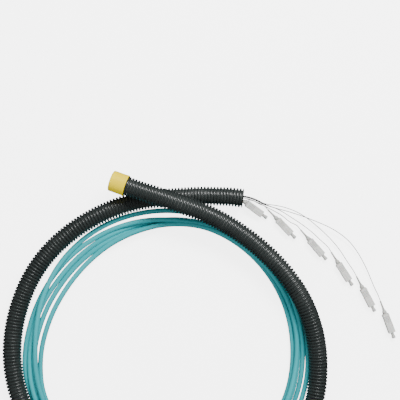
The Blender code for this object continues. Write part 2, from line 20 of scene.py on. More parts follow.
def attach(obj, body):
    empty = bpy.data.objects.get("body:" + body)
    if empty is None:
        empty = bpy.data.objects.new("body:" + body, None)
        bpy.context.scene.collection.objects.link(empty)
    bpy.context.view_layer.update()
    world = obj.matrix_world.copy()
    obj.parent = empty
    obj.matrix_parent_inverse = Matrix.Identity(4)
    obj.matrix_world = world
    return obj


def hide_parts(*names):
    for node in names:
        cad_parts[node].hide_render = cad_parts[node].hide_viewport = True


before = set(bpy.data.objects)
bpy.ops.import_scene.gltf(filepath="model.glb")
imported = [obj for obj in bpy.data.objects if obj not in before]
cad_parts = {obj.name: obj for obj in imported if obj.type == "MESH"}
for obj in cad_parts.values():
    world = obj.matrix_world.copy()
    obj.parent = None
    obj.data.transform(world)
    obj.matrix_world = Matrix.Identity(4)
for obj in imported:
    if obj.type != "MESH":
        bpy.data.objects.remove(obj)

Array = NDArray[np.float64]
Point = tuple[float, float, float]
SocketValue = "Shade | bpy.types.NodeSocket | float | tuple[float, ...]"

LOG = logging.getLogger("fibre_cable")
MM = 0.001

# The step between the points of a conduit's or a tail's centre line
ROUTE_STEP = 2 * MM

# Where the routes' own zero lies in the model's frame
ORIGIN_SHIFT = np.array((-0.776663, -14.384966, 0.0))

# The capped conduit's centre line, from the cap's closed face to its inner end, in millimetres
CAPPED_ROUTE = (
    (-67.0, 217.5, 34.0), (-48.2, 210.8, 35.2), (-33.1, 205.4, 36.2), (-11.2, 198.5, 37.4),
    (19.9, 188.0, 37.2), (51.7, 176.1, 33.6), (84.5, 158.8, 29.4), (119.9, 133.0, 27.0),
    (146.2, 107.3, 26.2), (163.5, 85.1, 26.1), (176.0, 64.3, 24.4), (185.4, 42.3, 21.2),
    (192.9, 16.8, 17.2), (197.0, -19.3, 13.0), (193.8, -57.8, 12.2), (183.5, -92.0, 12.2),
    (167.0, -123.0, 12.2), (145.0, -150.0, 12.2), (118.0, -171.0, 12.2), (88.0, -185.0, 12.2),
)

# The open conduit's straight stretch, from the top of its turn to its mouth, in millimetres
OPEN_STRAIGHT = (
    (0.0, 195.4, 12.2), (23.1, 196.9, 12.2), (45.0, 197.9, 12.2), (64.3, 197.7, 12.2),
    (83.6, 196.9, 12.2), (100.3, 195.1, 12.2),
)

# The trunk between each bush and the coil, in millimetres
LEAD_FROM_CAPPED = ((52.0, -198.0, 9.6), (34.0, -196.5, 5.6), (17.0, -191.0, 3.5))
LEAD_TO_OPEN = ((-36.0, -185.5, 10.3), (-55.0, -184.0, 11.4))

# Plugs: the grip's centre in millimetres, its heading and how far its nose dips
PLUGS = (
    ((115.5, 181.2, 6.1), -35.6, 10.0),
    ((154.5, 158.0, 3.7), -46.0, 0.0),
    ((195.5, 131.0, 3.7), -49.0, 0.0),
    ((231.5, 99.3, 3.7), -57.6, 0.0),
    ((262.0, 66.5, 3.7), -62.4, 0.0),
    ((289.4, 33.0, 3.7), -69.7, 0.0),
)

# Tails: where each starts round the breakout's face, and its route in millimetres
TAIL_START_ANGLES = (60.0, 200.0, 240.0, 280.0, 320.0, 20.0)
SHARED_TAIL_ROUTE = (
    (64.3, 197.7, 8.6), (83.6, 197.6, 5.4), (101.6, 197.2, 4.9), (112.3, 194.7, 4.2),
    (120.1, 191.5, 3.9), (127.9, 187.6, 3.7),
)
TAIL_OFFSETS = {3: (-2.0, 1.4), 4: (-0.6, 0.0), 5: (0.9, 0.0), 6: (0.1, 1.7)}
TAIL_ROUTES = {
    1: ((50.0, 199.5, 12.9), (68.0, 202.6, 12.9)),
    2: (
        (64.3, 194.2, 8.6), (83.6, 193.4, 5.6), (101.6, 192.4, 4.7), (108.8, 192.8, 3.0),
        (115.6, 191.2, 2.0), (123.0, 187.2, 2.0),
    ),
    3: ((149.9, 173.4, 3.7), (161.6, 164.3, 3.7)),
    4: (
        (143.2, 181.9, 3.7), (153.2, 176.7, 3.7), (165.7, 168.7, 3.7), (179.3, 159.6, 3.7),
        (190.6, 150.7, 3.7), (199.3, 142.6, 3.7),
    ),
    5: (
        (147.9, 184.9, 3.7), (156.4, 182.7, 3.7), (168.3, 178.3, 3.7), (179.6, 172.1, 3.7),
        (192.8, 162.1, 3.7), (207.9, 148.6, 3.7), (219.1, 136.8, 3.7), (226.7, 127.1, 3.7),
        (235.8, 113.1, 3.7),
    ),
    6: (
        (141.8, 182.6, 7.2), (159.8, 177.6, 8.0), (174.0, 173.1, 8.0), (186.9, 168.3, 8.0),
        (199.8, 163.1, 7.6), (212.8, 157.2, 6.8), (227.5, 148.2, 5.8), (238.6, 138.6, 5.0),
        (248.9, 125.3, 4.4), (259.8, 105.7, 3.9), (270.9, 79.7, 3.7),
    ),
}

# The five turns over the visible stretch, by angle: each turn's radius in millimetres, and its
# layer, 0 on the floor and 1 on top
TURN_ANGLES = (
    200, 190, 180, 170, 160, 150, 140, 130, 120, 110, 100, 90, 80, 70, 60, 40, 20, 10, 0, -10, -20,
)
TURN_RADII = (
    (
        183.5, 183.7, 181.1, 177.7, 175.2, 173.3, 171.8, 170.6, 169.6, 168.8, 168.3, 167.3, 167.7,
        170.6, 173.6, 175.3, 176.2, 176.6, 177.7, 179.3, 180.5,
    ),
    (
        178.8, 177.4, 174.8, 171.8, 168.9, 165.5, 163.9, 163.5, 163.3, 163.4, 164.6, 167.2, 168.9,
        170.4, 171.0, 171.1, 171.1, 171.1, 171.5, 172.7, 173.9,
    ),
    (
        175.2, 171.7, 168.8, 164.7, 161.6, 158.9, 157.6, 157.2, 157.4, 157.8, 158.3, 160.8, 163.6,
        165.5, 165.4, 164.9, 164.7, 164.7, 165.1, 166.2, 167.4,
    ),
    (
        167.9, 164.0, 160.0, 155.6, 152.4, 150.1, 149.5, 150.3, 152.2, 154.6, 157.6, 161.2, 164.3,
        166.3, 166.9, 168.4, 170.4, 170.4, 170.0, 169.6, 170.2,
    ),
    (
        169.3, 168.4, 167.1, 168.0, 170.6, 172.6, 175.0, 176.6, 177.8, 178.3, 178.6, 179.0, 179.0,
        179.0, 179.2, 179.3, 179.6, 180.8, 184.0, 186.8, 188.2,
    ),
)
TURN_LAYERS = (
    (0, 0, 0, 0, 0, 0, 0, 0, 0, 0.5, 1, 1, 1, 1, 1, 1, 1, 0.8, 0.25, 0, 0),
    (1, 0.5, 0, 0, 0, 0, 0, 0, 0, 0, 0, 0, 0, 0, 0, 0, 0, 0, 0, 0, 0),
    (0,) * 21,
    (0, 0, 0, 0, 0, 0, 0, 0, 0.5, 0.85, 1, 1, 1, 1, 1, 1, 1, 1, 1, 1, 1),
    (1, 1, 1, 1, 1, 1, 0.85, 0.35, 0, 0, 0, 0, 0, 0, 0, 0, 0, 0, 0, 0, 0),
)

# How each turn passes into the next at the hidden bottom: angle, radius in millimetres, layer
CROSSOVERS = (
    ((-35, 181.0, 0), (-60, 181.0, 0.5), (-90, 179.8, 1), (-120, 179.6, 1), (-145, 179.8, 1)),
    ((-35, 174.4, 0), (-60, 175.1, 0), (-90, 175.0, 0), (-120, 175.0, 0), (-145, 175.3, 0)),
    ((-35, 167.8, 0), (-60, 168.0, 0), (-90, 167.8, 0), (-120, 168.2, 0), (-145, 168.7, 0)),
    ((-35, 171.1, 1), (-60, 172.0, 1), (-90, 172.4, 1), (-120, 172.0, 1), (-145, 171.2, 1)),
)
COIL_ENTRY = (
    (265, 186.5, 0), (255, 185.0, 0), (245, 183.1, 0), (235, 182.6, 0), (225, 182.8, 0),
    (215, 182.9, 0), (207, 183.0, 0),
)
COIL_EXIT = (
    (-30, 189.3, 0), (-42, 189.4, 0.15), (-55, 188.9, 0.4), (-66, 188.4, 0.75), (-76, 188.0, 0.95),
    (-86, 187.8, 1), (-95, 187.4, 1),
)


def placed(points: Sequence[Sequence[float]]) -> Array:
    """Points written in millimetres about the routes' zero, as metres in the model's frame."""
    return (np.array(points, dtype=float) + ORIGIN_SHIFT) * MM


def unit(vector: Array) -> Array:
    """The vector or vectors at length one."""
    return vector / np.linalg.norm(vector, axis=-1, keepdims=True)


def rise(values: Array | float, start: float, end: float) -> Array:
    """A smooth step: 0 before start, 1 after end, and 3t squared less 2t cubed in between."""
    t = np.clip((np.asarray(values, dtype=float) - start) / (end - start), 0.0, 1.0)
    return t * t * (3.0 - 2.0 * t)


def plateau(values: Array, start: float, end: float, edge: float) -> Array:
    """1 between start and end and 0 outside, with smooth edges of the given width."""
    return rise(values, start, start + edge) * (1.0 - rise(values, end - edge, end))


@dataclass(frozen=True)
class Path:
    """A centre line through space.

    Args:
        points: the points in order, one row each.
    """

    points: Array

    @classmethod
    def through(cls, points: Array, spacing: float) -> "Path":
        """A centripetal Catmull-Rom curve through the points, in even steps.

        Each knot is the last one plus the square root of the distance to it, and the curve
        blends straight lines between knots three times over.

        Args:
            points: the points to pass through.
            spacing: the step between the curve's points.

        Returns:
            The finished path.
        """
        padded = np.vstack((2 * points[0] - points[1], points, 2 * points[-1] - points[-2]))
        gaps = np.sqrt(np.linalg.norm(np.diff(padded, axis=0), axis=1))
        knots = np.concatenate(([0.0], np.cumsum(gaps)))
        count = len(padded) - 3
        k0, k1, k2, k3 = (knots[start:start + count, None, None] for start in range(4))
        p0, p1, p2, p3 = (padded[start:start + count, None, :] for start in range(4))
        t = k1 + (k2 - k1) * np.linspace(0.0, 1.0, 24, endpoint=False)[None, :, None]
        a1 = p0 + (p1 - p0) * (t - k0) / (k1 - k0)
        a2 = p1 + (p2 - p1) * (t - k1) / (k2 - k1)
        a3 = p2 + (p3 - p2) * (t - k2) / (k3 - k2)
        b1 = a1 + (a2 - a1) * (t - k0) / (k2 - k0)
        b2 = a2 + (a3 - a2) * (t - k1) / (k3 - k1)
        curve = b1 + (b2 - b1) * (t - k1) / (k2 - k1)
        return cls(np.vstack((curve.reshape(-1, 3), points[-1]))).resampled(spacing)

    @property
    def distances(self) -> Array:
        """How far along the path each point is."""
        steps = np.linalg.norm(np.diff(self.points, axis=0), axis=1)
        return np.concatenate(([0.0], np.cumsum(steps)))

    @property
    def length(self) -> float:
        """The path's whole length."""
        return float(self.distances[-1])

    def at(self, wanted: Array) -> Array:
        """The points at these distances from the start."""
        return self.blended(wanted, self.points)

    def blended(self, wanted: Array, rows: Array) -> Array:
        """Rows of three values, one for each point, worked out at these distances."""
        return np.column_stack([np.interp(wanted, self.distances, column) for column in rows.T])

    def resampled(self, spacing: float) -> "Path":
        """The same path in even steps of about the spacing."""
        return Path(self.between(0.0, self.length, spacing))

    def between(self, start: float, end: float, spacing: float) -> Array:
        """Points of the path between two distances, in even steps."""
        steps = max(2, round((end - start) / spacing))
        return self.at(np.linspace(start, end, steps + 1))

    def frames(self, wanted: Array) -> tuple[Array, Array, Array]:
        """Centre, side and up vectors at these distances.

        The side vector is level and square to the path, and up completes the pair.

        Args:
            wanted: the distances from the start.

        Returns:
            Three arrays of one row for each distance.
        """
        tangents = unit(np.gradient(self.points, self.distances, axis=0))
        ahead = unit(self.blended(wanted, tangents))
        side = unit(np.cross((0.0, 0.0, 1.0), ahead))
        return self.at(wanted), side, np.cross(ahead, side)


def grid_faces(rows: int, columns: int, closed: bool) -> Array:
    """Quads over a grid that wraps round its columns, and round its rows where it is closed.

    Args:
        rows: how many rings there are.
        columns: how many points each ring has.
        closed: whether the last ring joins the first.

    Returns:
        Four point numbers for each face.
    """
    row = np.arange(rows if closed else rows - 1)[:, None]
    column = np.arange(columns)[None, :]
    following = (row + 1) % rows
    beside = (column + 1) % columns
    corners = (row * columns + column, row * columns + beside, following * columns + beside,
               following * columns + column)
    return np.stack(np.broadcast_arrays(*corners), axis=-1).reshape(-1, 4)


@dataclass
class Skin:
    """A closed surface: points in rings, and the faces between them.

    Args:
        points: one row for each point.
        faces: the point numbers of each face.
        fields: values that vary from point to point, by name, as one or three columns.
    """

    points: Array
    faces: list[list[int]]
    fields: dict[str, Array] = field(default_factory=dict)

    @classmethod
    def from_rings(cls, rings: Array, hollow: bool) -> "Skin":
        """A surface over rings of points.

        A hollow one joins its last ring to its first. Any other is closed at each end by a
        fan of triangles about the ring's middle.

        Args:
            rings: an array of rings by points by three.
            hollow: whether the surface runs back to its start.

        Returns:
            The closed surface.
        """
        rows, columns = rings.shape[:2]
        points = rings.reshape(-1, 3)
        faces = grid_faces(rows, columns, hollow).tolist()
        if hollow:
            return cls(points, faces)
        around = np.arange(columns)
        beside = (around + 1) % columns
        last = (rows - 1) * columns
        first_pole, last_pole = rows * columns, rows * columns + 1
        faces += np.stack((beside, around, np.full(columns, first_pole)), axis=1).tolist()
        faces += np.stack((last + around, last + beside, np.full(columns, last_pole)), axis=1).tolist()
        return cls(np.vstack((points, rings[0].mean(axis=0), rings[-1].mean(axis=0))), faces)

    def moved(self, placement: Matrix) -> "Skin":
        """The surface at its place, with its own axes' coordinates as the field own."""
        self.fields["own"] = self.points.copy()
        turn = np.array(placement.to_3x3())
        self.points = self.points @ turn.T + np.array(placement.translation)
        return self

    def volume(self) -> float:
        """Six times the volume inside, below zero where the faces point inwards."""
        corners = np.array([(f[0], f[i], f[i + 1]) for f in self.faces for i in range(1, len(f) - 1)])
        a, b, c = (self.points[corners[:, index]] for index in range(3))
        return float(np.einsum("ij,ij->", a, np.cross(b, c)))

    def build(self, name: str, sharp: float = 40.0) -> bpy.types.Object:
        """Make the object, with its faces outward and its creases sharp.

        Args:
            name: the piece's name.
            sharp: the angle between faces past which an edge is sharp.

        Returns:
            The object, linked to the scene.
        """
        faces = self.faces
        if self.volume() < 0.0:
            faces = [face[::-1] for face in faces]
        mesh = bpy.data.meshes.new(name)
        mesh.from_pydata(self.points.tolist(), [], faces)
        for title, values in self.fields.items():
            wide = values.ndim == 2
            layer = mesh.attributes.new(title, "FLOAT_VECTOR" if wide else "FLOAT", "POINT")
            layer.data.foreach_set("vector" if wide else "value", values.astype(np.float32).ravel())
        mesh.shade_smooth()
        mesh.set_sharp_from_angle(angle=math.radians(sharp))
        piece = bpy.data.objects.new(name, mesh)
        bpy.context.scene.collection.objects.link(piece)
        return piece


def swept(path: Path, stations: Array, radii: Array, sides: int, hollow: bool) -> Skin:
    """A round section carried along a path.

    A point is the centre plus the radius times the side vector's cosine and the up vector's
    sine of its angle. The sleeve field holds the same tube straightened out, so that a
    pattern can follow the cable.

    Args:
        path: the centre line.
        stations: the distances along it.
        radii: the radius at each station.
        sides: how many points go round.
        hollow: whether the stations run back to the start along the inside.

    Returns:
        The surface.
    """
    centres, side, up = path.frames(stations)
    angles = np.linspace(0.0, 2 * math.pi, sides, endpoint=False)
    cosine, sine = np.cos(angles), np.sin(angles)
    spread = cosine[None, :, None] * side[:, None, :] + sine[None, :, None] * up[:, None, :]
    skin = Skin.from_rings(centres[:, None, :] + radii[:, None, None] * spread, hollow)
    straight = np.stack(np.broadcast_arrays(
        radii[:, None] * cosine, radii[:, None] * sine, stations[:, None]), axis=-1)
    sleeve = straight.reshape(-1, 3)
    if not hollow:
        sleeve = np.vstack((sleeve, (0.0, 0.0, stations[0]), (0.0, 0.0, stations[-1])))
    skin.fields["sleeve"] = sleeve
    return skin


def softened(profile: Sequence[tuple[float, float]], cut: float, steps: int = 5) -> Array:
    """A profile with its inner corners rounded.

    Each corner gives way to a quadratic curve between two points that lie the cut's length
    from it, or two fifths of a shorter side.

    Args:
        profile: the corners in order.
        cut: how far from each corner the curve starts.
        steps: how many points each curve has.

    Returns:
        The rounded profile.
    """
    corners = np.array(profile, dtype=float)
    here, before, after = corners[1:-1], corners[:-2], corners[2:]
    back, ahead = before - here, after - here
    back_length = np.linalg.norm(back, axis=1, keepdims=True)
    ahead_length = np.linalg.norm(ahead, axis=1, keepdims=True)
    start = here + back / back_length * np.minimum(cut, 0.4 * back_length)
    end = here + ahead / ahead_length * np.minimum(cut, 0.4 * ahead_length)
    t = np.linspace(0.0, 1.0, steps)[None, :, None]
    curve = (1 - t) ** 2 * start[:, None] + 2 * t * (1 - t) * here[:, None] + t ** 2 * end[:, None]
    return np.vstack((corners[:1], curve.reshape(-1, 2), corners[-1:]))


def turned(profile: Array, placement: Matrix, segments: int, hollow: bool = False) -> Skin:
    """A profile of distance and radius turned about the placement's X axis.

    A point is the distance along X, and the radius times the cosine and sine of its angle
    along Y and Z. A solid piece's profile starts and ends on the axis.

    Args:
        profile: rows of distance along the axis and radius.
        placement: the matrix of the piece's own axes.
        segments: how many points go round.
        hollow: whether the profile is closed into a ring.

    Returns:
        The surface.
    """
    rows = profile if hollow else profile[1:-1]
    angles = np.linspace(0.0, 2 * math.pi, segments, endpoint=False)
    along, radius = rows[:, :1], rows[:, 1:]
    local = np.broadcast_arrays(along, radius * np.cos(angles), radius * np.sin(angles))
    skin = Skin.from_rings(np.stack(local, axis=-1), hollow)
    if not hollow:
        skin.points[-2:, 0] = profile[0, 0], profile[-1, 0]
    return skin.moved(placement)


@dataclass(frozen=True)
class Outline:
    """A rounded rectangle's points, ready for any width, height and corner.

    A point is its place on the inner rectangle, which the corner radius shrinks, plus the
    corner radius times its outward direction.

    Args:
        along_flat: how many points each flat side has.
        along_corner: how many points each corner has.
    """

    along_flat: int
    along_corner: int

    def layout(self) -> tuple[Array, Array]:
        """Each point's place on the inner rectangle, from -1 to 1, and its outward direction."""
        flat = np.linspace(-1.0, 1.0, self.along_flat + 2)[1:-1]
        bend = np.radians(np.linspace(0.0, 90.0, self.along_corner))
        place, outward = [], []
        for quarter in range(4):
            turn = quarter * math.pi / 2
            rotate = np.array(((math.cos(turn), -math.sin(turn)), (math.sin(turn), math.cos(turn))))
            side = np.column_stack((np.ones(len(flat)), flat))
            corner = np.ones((len(bend), 2))
            place.append(np.vstack((side, corner)) @ rotate.T)
            straight = np.tile((1.0, 0.0), (len(flat), 1))
            curved = np.column_stack((np.cos(bend), np.sin(bend)))
            outward.append(np.vstack((straight, curved)) @ rotate.T)
        return np.vstack(place), np.vstack(outward)


def lofted(stations: Array, halves: Array, corners: Array, bumps: Array, outline: Outline,
           placement: Matrix, hollow: bool) -> Skin:
    """A rounded rectangle carried along the placement's X axis.

    Args:
        stations: the distance along X of each section.
        halves: half the width and half the height of each section.
        corners: the corner radius of each section.
        bumps: how far each point stands out along its outward direction, by section and point.
        outline: the rounded rectangle's layout.
        placement: the matrix of the piece's own axes.
        hollow: whether the sections run back to the start along the inside.

    Returns:
        The surface, with its own axes' coordinates as the field own.
    """
    place, outward = outline.layout()
    reach = (halves - corners[:, None])[:, None, :] * place[None]
    section = reach + (corners[:, None, None] + bumps[..., None]) * outward[None]
    along = np.broadcast_to(stations[:, None, None], (*section.shape[:2], 1))
    return Skin.from_rings(np.concatenate((along, section), axis=2), hollow).moved(placement)


def facing(point: Array, direction: Array) -> Matrix:
    """A matrix at the point whose X axis runs along the direction and whose Z axis leans up."""
    ahead = Vector(direction).normalized()
    side = Vector((0.0, 0.0, 1.0)).cross(ahead).normalized()
    turn = Matrix((ahead, side, ahead.cross(side))).transposed().to_4x4()
    return Matrix.Translation(Vector(point)) @ turn


class Shade:
    """A shader value that takes part in plain arithmetic."""

    def __init__(self, graph: "MaterialGraph", socket: bpy.types.NodeSocket) -> None:
        """Wrap a node's output."""
        self.graph = graph
        self.socket = socket

    def join(self, operation: str, *values: "SocketValue") -> "Shade":
        """A Math node of these values.

        Args:
            operation: the node's operation.
            values: its inputs in order.

        Returns:
            The node's result.
        """
        node = self.graph.add("ShaderNodeMath", {"operation": operation}, dict(enumerate(values)))
        return Shade(self.graph, node.outputs[0])

    def __add__(self, other: "SocketValue") -> "Shade":
        """The sum."""
        return self.join("ADD", self, other)

    def __radd__(self, other: "SocketValue") -> "Shade":
        """The sum, the other way round."""
        return self.join("ADD", other, self)

    def __sub__(self, other: "SocketValue") -> "Shade":
        """The difference."""
        return self.join("SUBTRACT", self, other)

    def __rsub__(self, other: "SocketValue") -> "Shade":
        """The difference, the other way round."""
        return self.join("SUBTRACT", other, self)

    def __mul__(self, other: "SocketValue") -> "Shade":
        """The product."""
        return self.join("MULTIPLY", self, other)

    def __rmul__(self, other: "SocketValue") -> "Shade":
        """The product, the other way round."""
        return self.join("MULTIPLY", other, self)

    def between(self, low: float, high: float) -> "Shade":
        """A smooth step of the value from low to high."""
        node = self.graph.add(
            "ShaderNodeMapRange", {"interpolation_type": "SMOOTHSTEP"},
            {0: self, 1: low, 2: high, 3: 0.0, 4: 1.0})
        return Shade(self.graph, node.outputs[0])


class MaterialGraph:
    """A material's nodes, added by type, with the Principled shader at the end."""

    def __init__(self, name: str) -> None:
        """Start a material that holds only its shader and its output."""
        self.material = bpy.data.materials.new(name)
        self.material.use_nodes = True
        self.tree = self.material.node_tree
        self.shader = self.tree.nodes["Principled BSDF"]

    def add(self, kind: str, settings: Mapping[str, object],
            sockets: Mapping[int | str, "SocketValue"]) -> bpy.types.Node:
        """Add a node: its type and settings first, then its sockets.

        Args:
            kind: the node's type.
            settings: the node's own properties.
            sockets: values or links, by input number or name.

        Returns:
            The node.
        """
        node = self.tree.nodes.new(kind)
        for title, value in settings.items():
            setattr(node, title, value)
        for title, value in sockets.items():
            self.feed(node.inputs[title], value)
        return node

    def feed(self, socket: bpy.types.NodeSocket, value: "SocketValue") -> None:
        """Link a value into a socket, or set it there."""
        source = value.socket if isinstance(value, Shade) else value
        if isinstance(source, bpy.types.NodeSocket):
            self.tree.links.new(source, socket)
        else:
            socket.default_value = source

    def place(self) -> bpy.types.NodeSocket:
        """The point's place in the object's own coordinates."""
        return self.add("ShaderNodeTexCoord", {}, {}).outputs["Object"]

    def field(self, title: str) -> bpy.types.Node:
        """The node that reads one of the piece's own fields."""
        return self.add("ShaderNodeAttribute", {"attribute_name": title}, {})

    def stretched(self, vector: bpy.types.NodeSocket, scale: Point) -> bpy.types.NodeSocket:
        """A vector with each of its parts scaled."""
        return self.add("ShaderNodeMapping", {}, {"Vector": vector, "Scale": scale}).outputs[0]

    def noise(self, vector: bpy.types.NodeSocket, scale: float, detail: float,
              rough: float = 0.5) -> Shade:
        """Noise between 0 and 1.

        Args:
            vector: where to read it.
            scale: how many features there are to the metre.
            detail: how many finer layers it has.
            rough: how strong the finer layers are.

        Returns:
            The noise.
        """
        node = self.add(
            "ShaderNodeTexNoise", {},
            {"Vector": vector, "Scale": scale, "Detail": detail, "Roughness": rough})
        return Shade(self, node.outputs[0])

    def blend(self, share: "SocketValue", first: "SocketValue",
              second: "SocketValue") -> bpy.types.NodeSocket:
        """Two colours mixed: the first where the share is 0 and the second where it is 1.

        Args:
            share: how much of the second there is.
            first: a colour or a link.
            second: a colour or a link.

        Returns:
            The mixed colour.
        """
        node = self.add(
            "ShaderNodeMix", {"data_type": "RGBA", "clamp_factor": True},
            {0: share, 6: self.colour(first), 7: self.colour(second)})
        return node.outputs[2]

    @staticmethod
    def colour(value: "SocketValue") -> "SocketValue":
        """A colour with its alpha, or a link as it is."""
        return (*value, 1.0) if isinstance(value, tuple) and len(value) == 3 else value

    def finish(self, colour: "SocketValue", roughness: Shade, normal: bpy.types.NodeSocket | None,
               fixed: Mapping[str, "SocketValue"]) -> bpy.types.Material:
        """Set the shader's sockets.

        Args:
            colour: the colour over the surface.
            roughness: the roughness over the surface.
            normal: the bumped normal, if there is one.
            fixed: constants, set on the shader's own sockets.

        Returns:
            The material.
        """
        for title, value in (("Base Color", colour), ("Roughness", roughness), ("Normal", normal)):
            if value is not None:
                self.feed(self.shader.inputs[title], value)
        for title, value in fixed.items():
            self.shader.inputs[title].default_value = self.colour(value)
        return self.material

    def relief(self, height: Shade, distance: float, strength: float = 1.0) -> bpy.types.NodeSocket:
        """A bumped normal from a height between 0 and 1.

        Args:
            height: the height over the surface.
            distance: the height of 1, in metres.
            strength: how much of it shows.

        Returns:
            The normal.
        """
        sockets = {"Strength": strength, "Distance": distance, "Height": height}
        return self.add("ShaderNodeBump", {}, sockets).outputs[0]


@dataclass(frozen=True)
class ConduitPlastic:
    """Black extruded plastic: dark and satin, with scuffed crests, and grooves lightened by dust and by
    painted light that lifts their shade.

    Args:
        body: the plastic's colour.
        scuffed: the colour of a rubbed crest.
        dust_and_groove_light: the colour of dust in a groove.
    """

    body: Point = (0.024, 0.030, 0.029)
    scuffed: Point = (0.055, 0.060, 0.058)
    # dust_and_groove_light: the colour of a groove: dust, and painted light that lifts the shade in it.
    dust_and_groove_light: Point = (0.070, 0.078, 0.074)

    def material(self) -> bpy.types.Material:
        """Build the finish."""
        graph = MaterialGraph("conduit_plastic")
        sleeve = graph.field("sleeve").outputs["Vector"]
        rib = Shade(graph, graph.field("rib").outputs["Fac"])
        streaks = graph.noise(graph.stretched(sleeve, (1.0, 1.0, 0.25)), 260.0, 4.0)
        patches = graph.noise(sleeve, 38.0, 3.0)
        grain = graph.noise(sleeve, 2600.0, 2.0)
        wear = rib.between(0.8, 1.0) * patches.between(0.52, 0.72) * streaks.between(0.45, 0.7)
        # Painted light: the grooves, outside and in the bore, blend towards a paler colour that stands
        # for dust and also cancels the shade falling in them.
        dust = (1.0 - rib.between(0.1, 0.6)) * (0.5 + 0.5 * patches.between(0.40, 0.65))
        body = graph.blend(wear * 0.55, self.body, self.scuffed)
        body = graph.blend(dust, body, self.dust_and_groove_light)
        return graph.finish(
            body,
            0.22 + 0.10 * streaks + 0.16 * wear + 0.20 * dust,
            graph.relief(grain * 0.6 + streaks * 0.4, 0.04 * MM, 0.5),
            {"IOR": 1.6, "Specular IOR Level": 0.5})


@dataclass(frozen=True)
class JacketPlastic:
    """The trunk's aqua jacket: satin, with slow changes of shade and faint lines from its extrusion.

    Args:
        body: the jacket's main colour.
        deep: the colour where it is a shade darker.
        rubbed: the colour of dry rub marks.
    """

    body: Point = (0.030, 0.47, 0.51)
    deep: Point = (0.018, 0.38, 0.42)
    rubbed: Point = (0.10, 0.57, 0.60)

    def material(self) -> bpy.types.Material:
        """Build the finish."""
        graph = MaterialGraph("jacket_plastic")
        sleeve = graph.field("sleeve").outputs["Vector"]
        shade = graph.noise(graph.stretched(sleeve, (1.0, 1.0, 0.12)), 60.0, 3.0)
        lines = graph.noise(graph.stretched(sleeve, (1.0, 1.0, 0.01)), 1500.0, 2.0)
        rubs = graph.noise(graph.stretched(sleeve, (1.0, 1.0, 0.2)), 420.0, 4.0, 0.6)
        grain = graph.noise(sleeve, 3500.0, 2.0)
        marks = rubs.between(0.60, 0.78)
        body = graph.blend(shade.between(0.35, 0.65), self.body, self.deep)
        body = graph.blend(marks * 0.35, body, self.rubbed)
        return graph.finish(
            body,
            0.40 + 0.10 * lines + 0.14 * marks,
            graph.relief(lines * 0.6 + grain * 0.4, 0.03 * MM, 0.5),
            {"IOR": 1.48, "Sheen Weight": 0.05})


@dataclass(frozen=True)
class CapVinyl:
    """The cap's soft dipped vinyl: bright yellow, waxy, a little uneven and rubbed at its edges.

    Args:
        body: the vinyl's colour.
        deep: the colour where it is thicker.
        soiled: the colour of handled patches.
    """

    body: Point = (1.0, 0.76, 0.0)
    deep: Point = (0.93, 0.66, 0.0)
    soiled: Point = (0.66, 0.48, 0.002)

    def material(self) -> bpy.types.Material:
        """Build the finish."""
        graph = MaterialGraph("cap_vinyl")
        own = graph.field("own").outputs["Vector"]
        waves = graph.noise(own, 90.0, 2.0)
        patches = graph.noise(own, 240.0, 4.0, 0.6)
        grain = graph.noise(own, 2200.0, 3.0)
        body = graph.blend(waves.between(0.35, 0.7) * 0.55, self.body, self.deep)
        body = graph.blend(patches.between(0.62, 0.8) * 0.3, body, self.soiled)
        return graph.finish(
            body,
            0.30 + 0.14 * patches + 0.06 * grain,
            graph.relief(waves * 0.7 + grain * 0.08, 0.35 * MM, 0.6),
            {"IOR": 1.45, "Specular IOR Level": 0.15})


class Moulding(Enum):
    """Which moulded piece of a plug a plastic is for: its name, colour and roughness."""

    BOOT = ("boot_plastic", (0.55, 0.55, 0.52), 0.46)
    GRIP = ("grip_plastic", (0.76, 0.76, 0.73), 0.34)
    FRAME = ("frame_plastic", (0.56, 0.56, 0.53), 0.38)
    DUST_CAP = ("dust_cap_plastic", (0.58, 0.58, 0.56), 0.42)


@dataclass(frozen=True)
class PlugPlastic:
    """A plug's moulded plastic: fine spark-eroded grain, painted shade in its hollows and handled
    corners.

    Args:
        moulding: which piece it is for.
        shade: how much darker the painted shade makes the hollows.
    """

    moulding: Moulding
    shade: float = 0.62

    def material(self) -> bpy.types.Material:
        """Build the finish."""
        title, colour, rough = self.moulding.value
        graph = MaterialGraph(title)
        own = graph.field("own").outputs["Vector"]
        relief = Shade(graph, graph.field("relief").outputs["Fac"])
        clouds = graph.noise(own, 420.0, 3.0)
        grain = graph.noise(own, 5200.0, 2.0)
        # Painted shade: where the relief field marks a hollow, the colour blends towards this darker
        # one.
        dark = tuple(part * (1.0 - self.shade) for part in colour)
        warm = (colour[0] * 0.97, colour[1] * 0.95, colour[2] * 0.88)
        body = graph.blend(clouds.between(0.4, 0.75) * 0.5, colour, warm)
        body = graph.blend(relief.between(0.0, 1.0), body, dark)
        return graph.finish(
            body,
            rough + 0.12 * clouds,
            graph.relief(grain, 0.04 * MM, 0.45),
            {"IOR": 1.5, "Subsurface Weight": 0.05, "Subsurface Scale": 1.0 * MM})


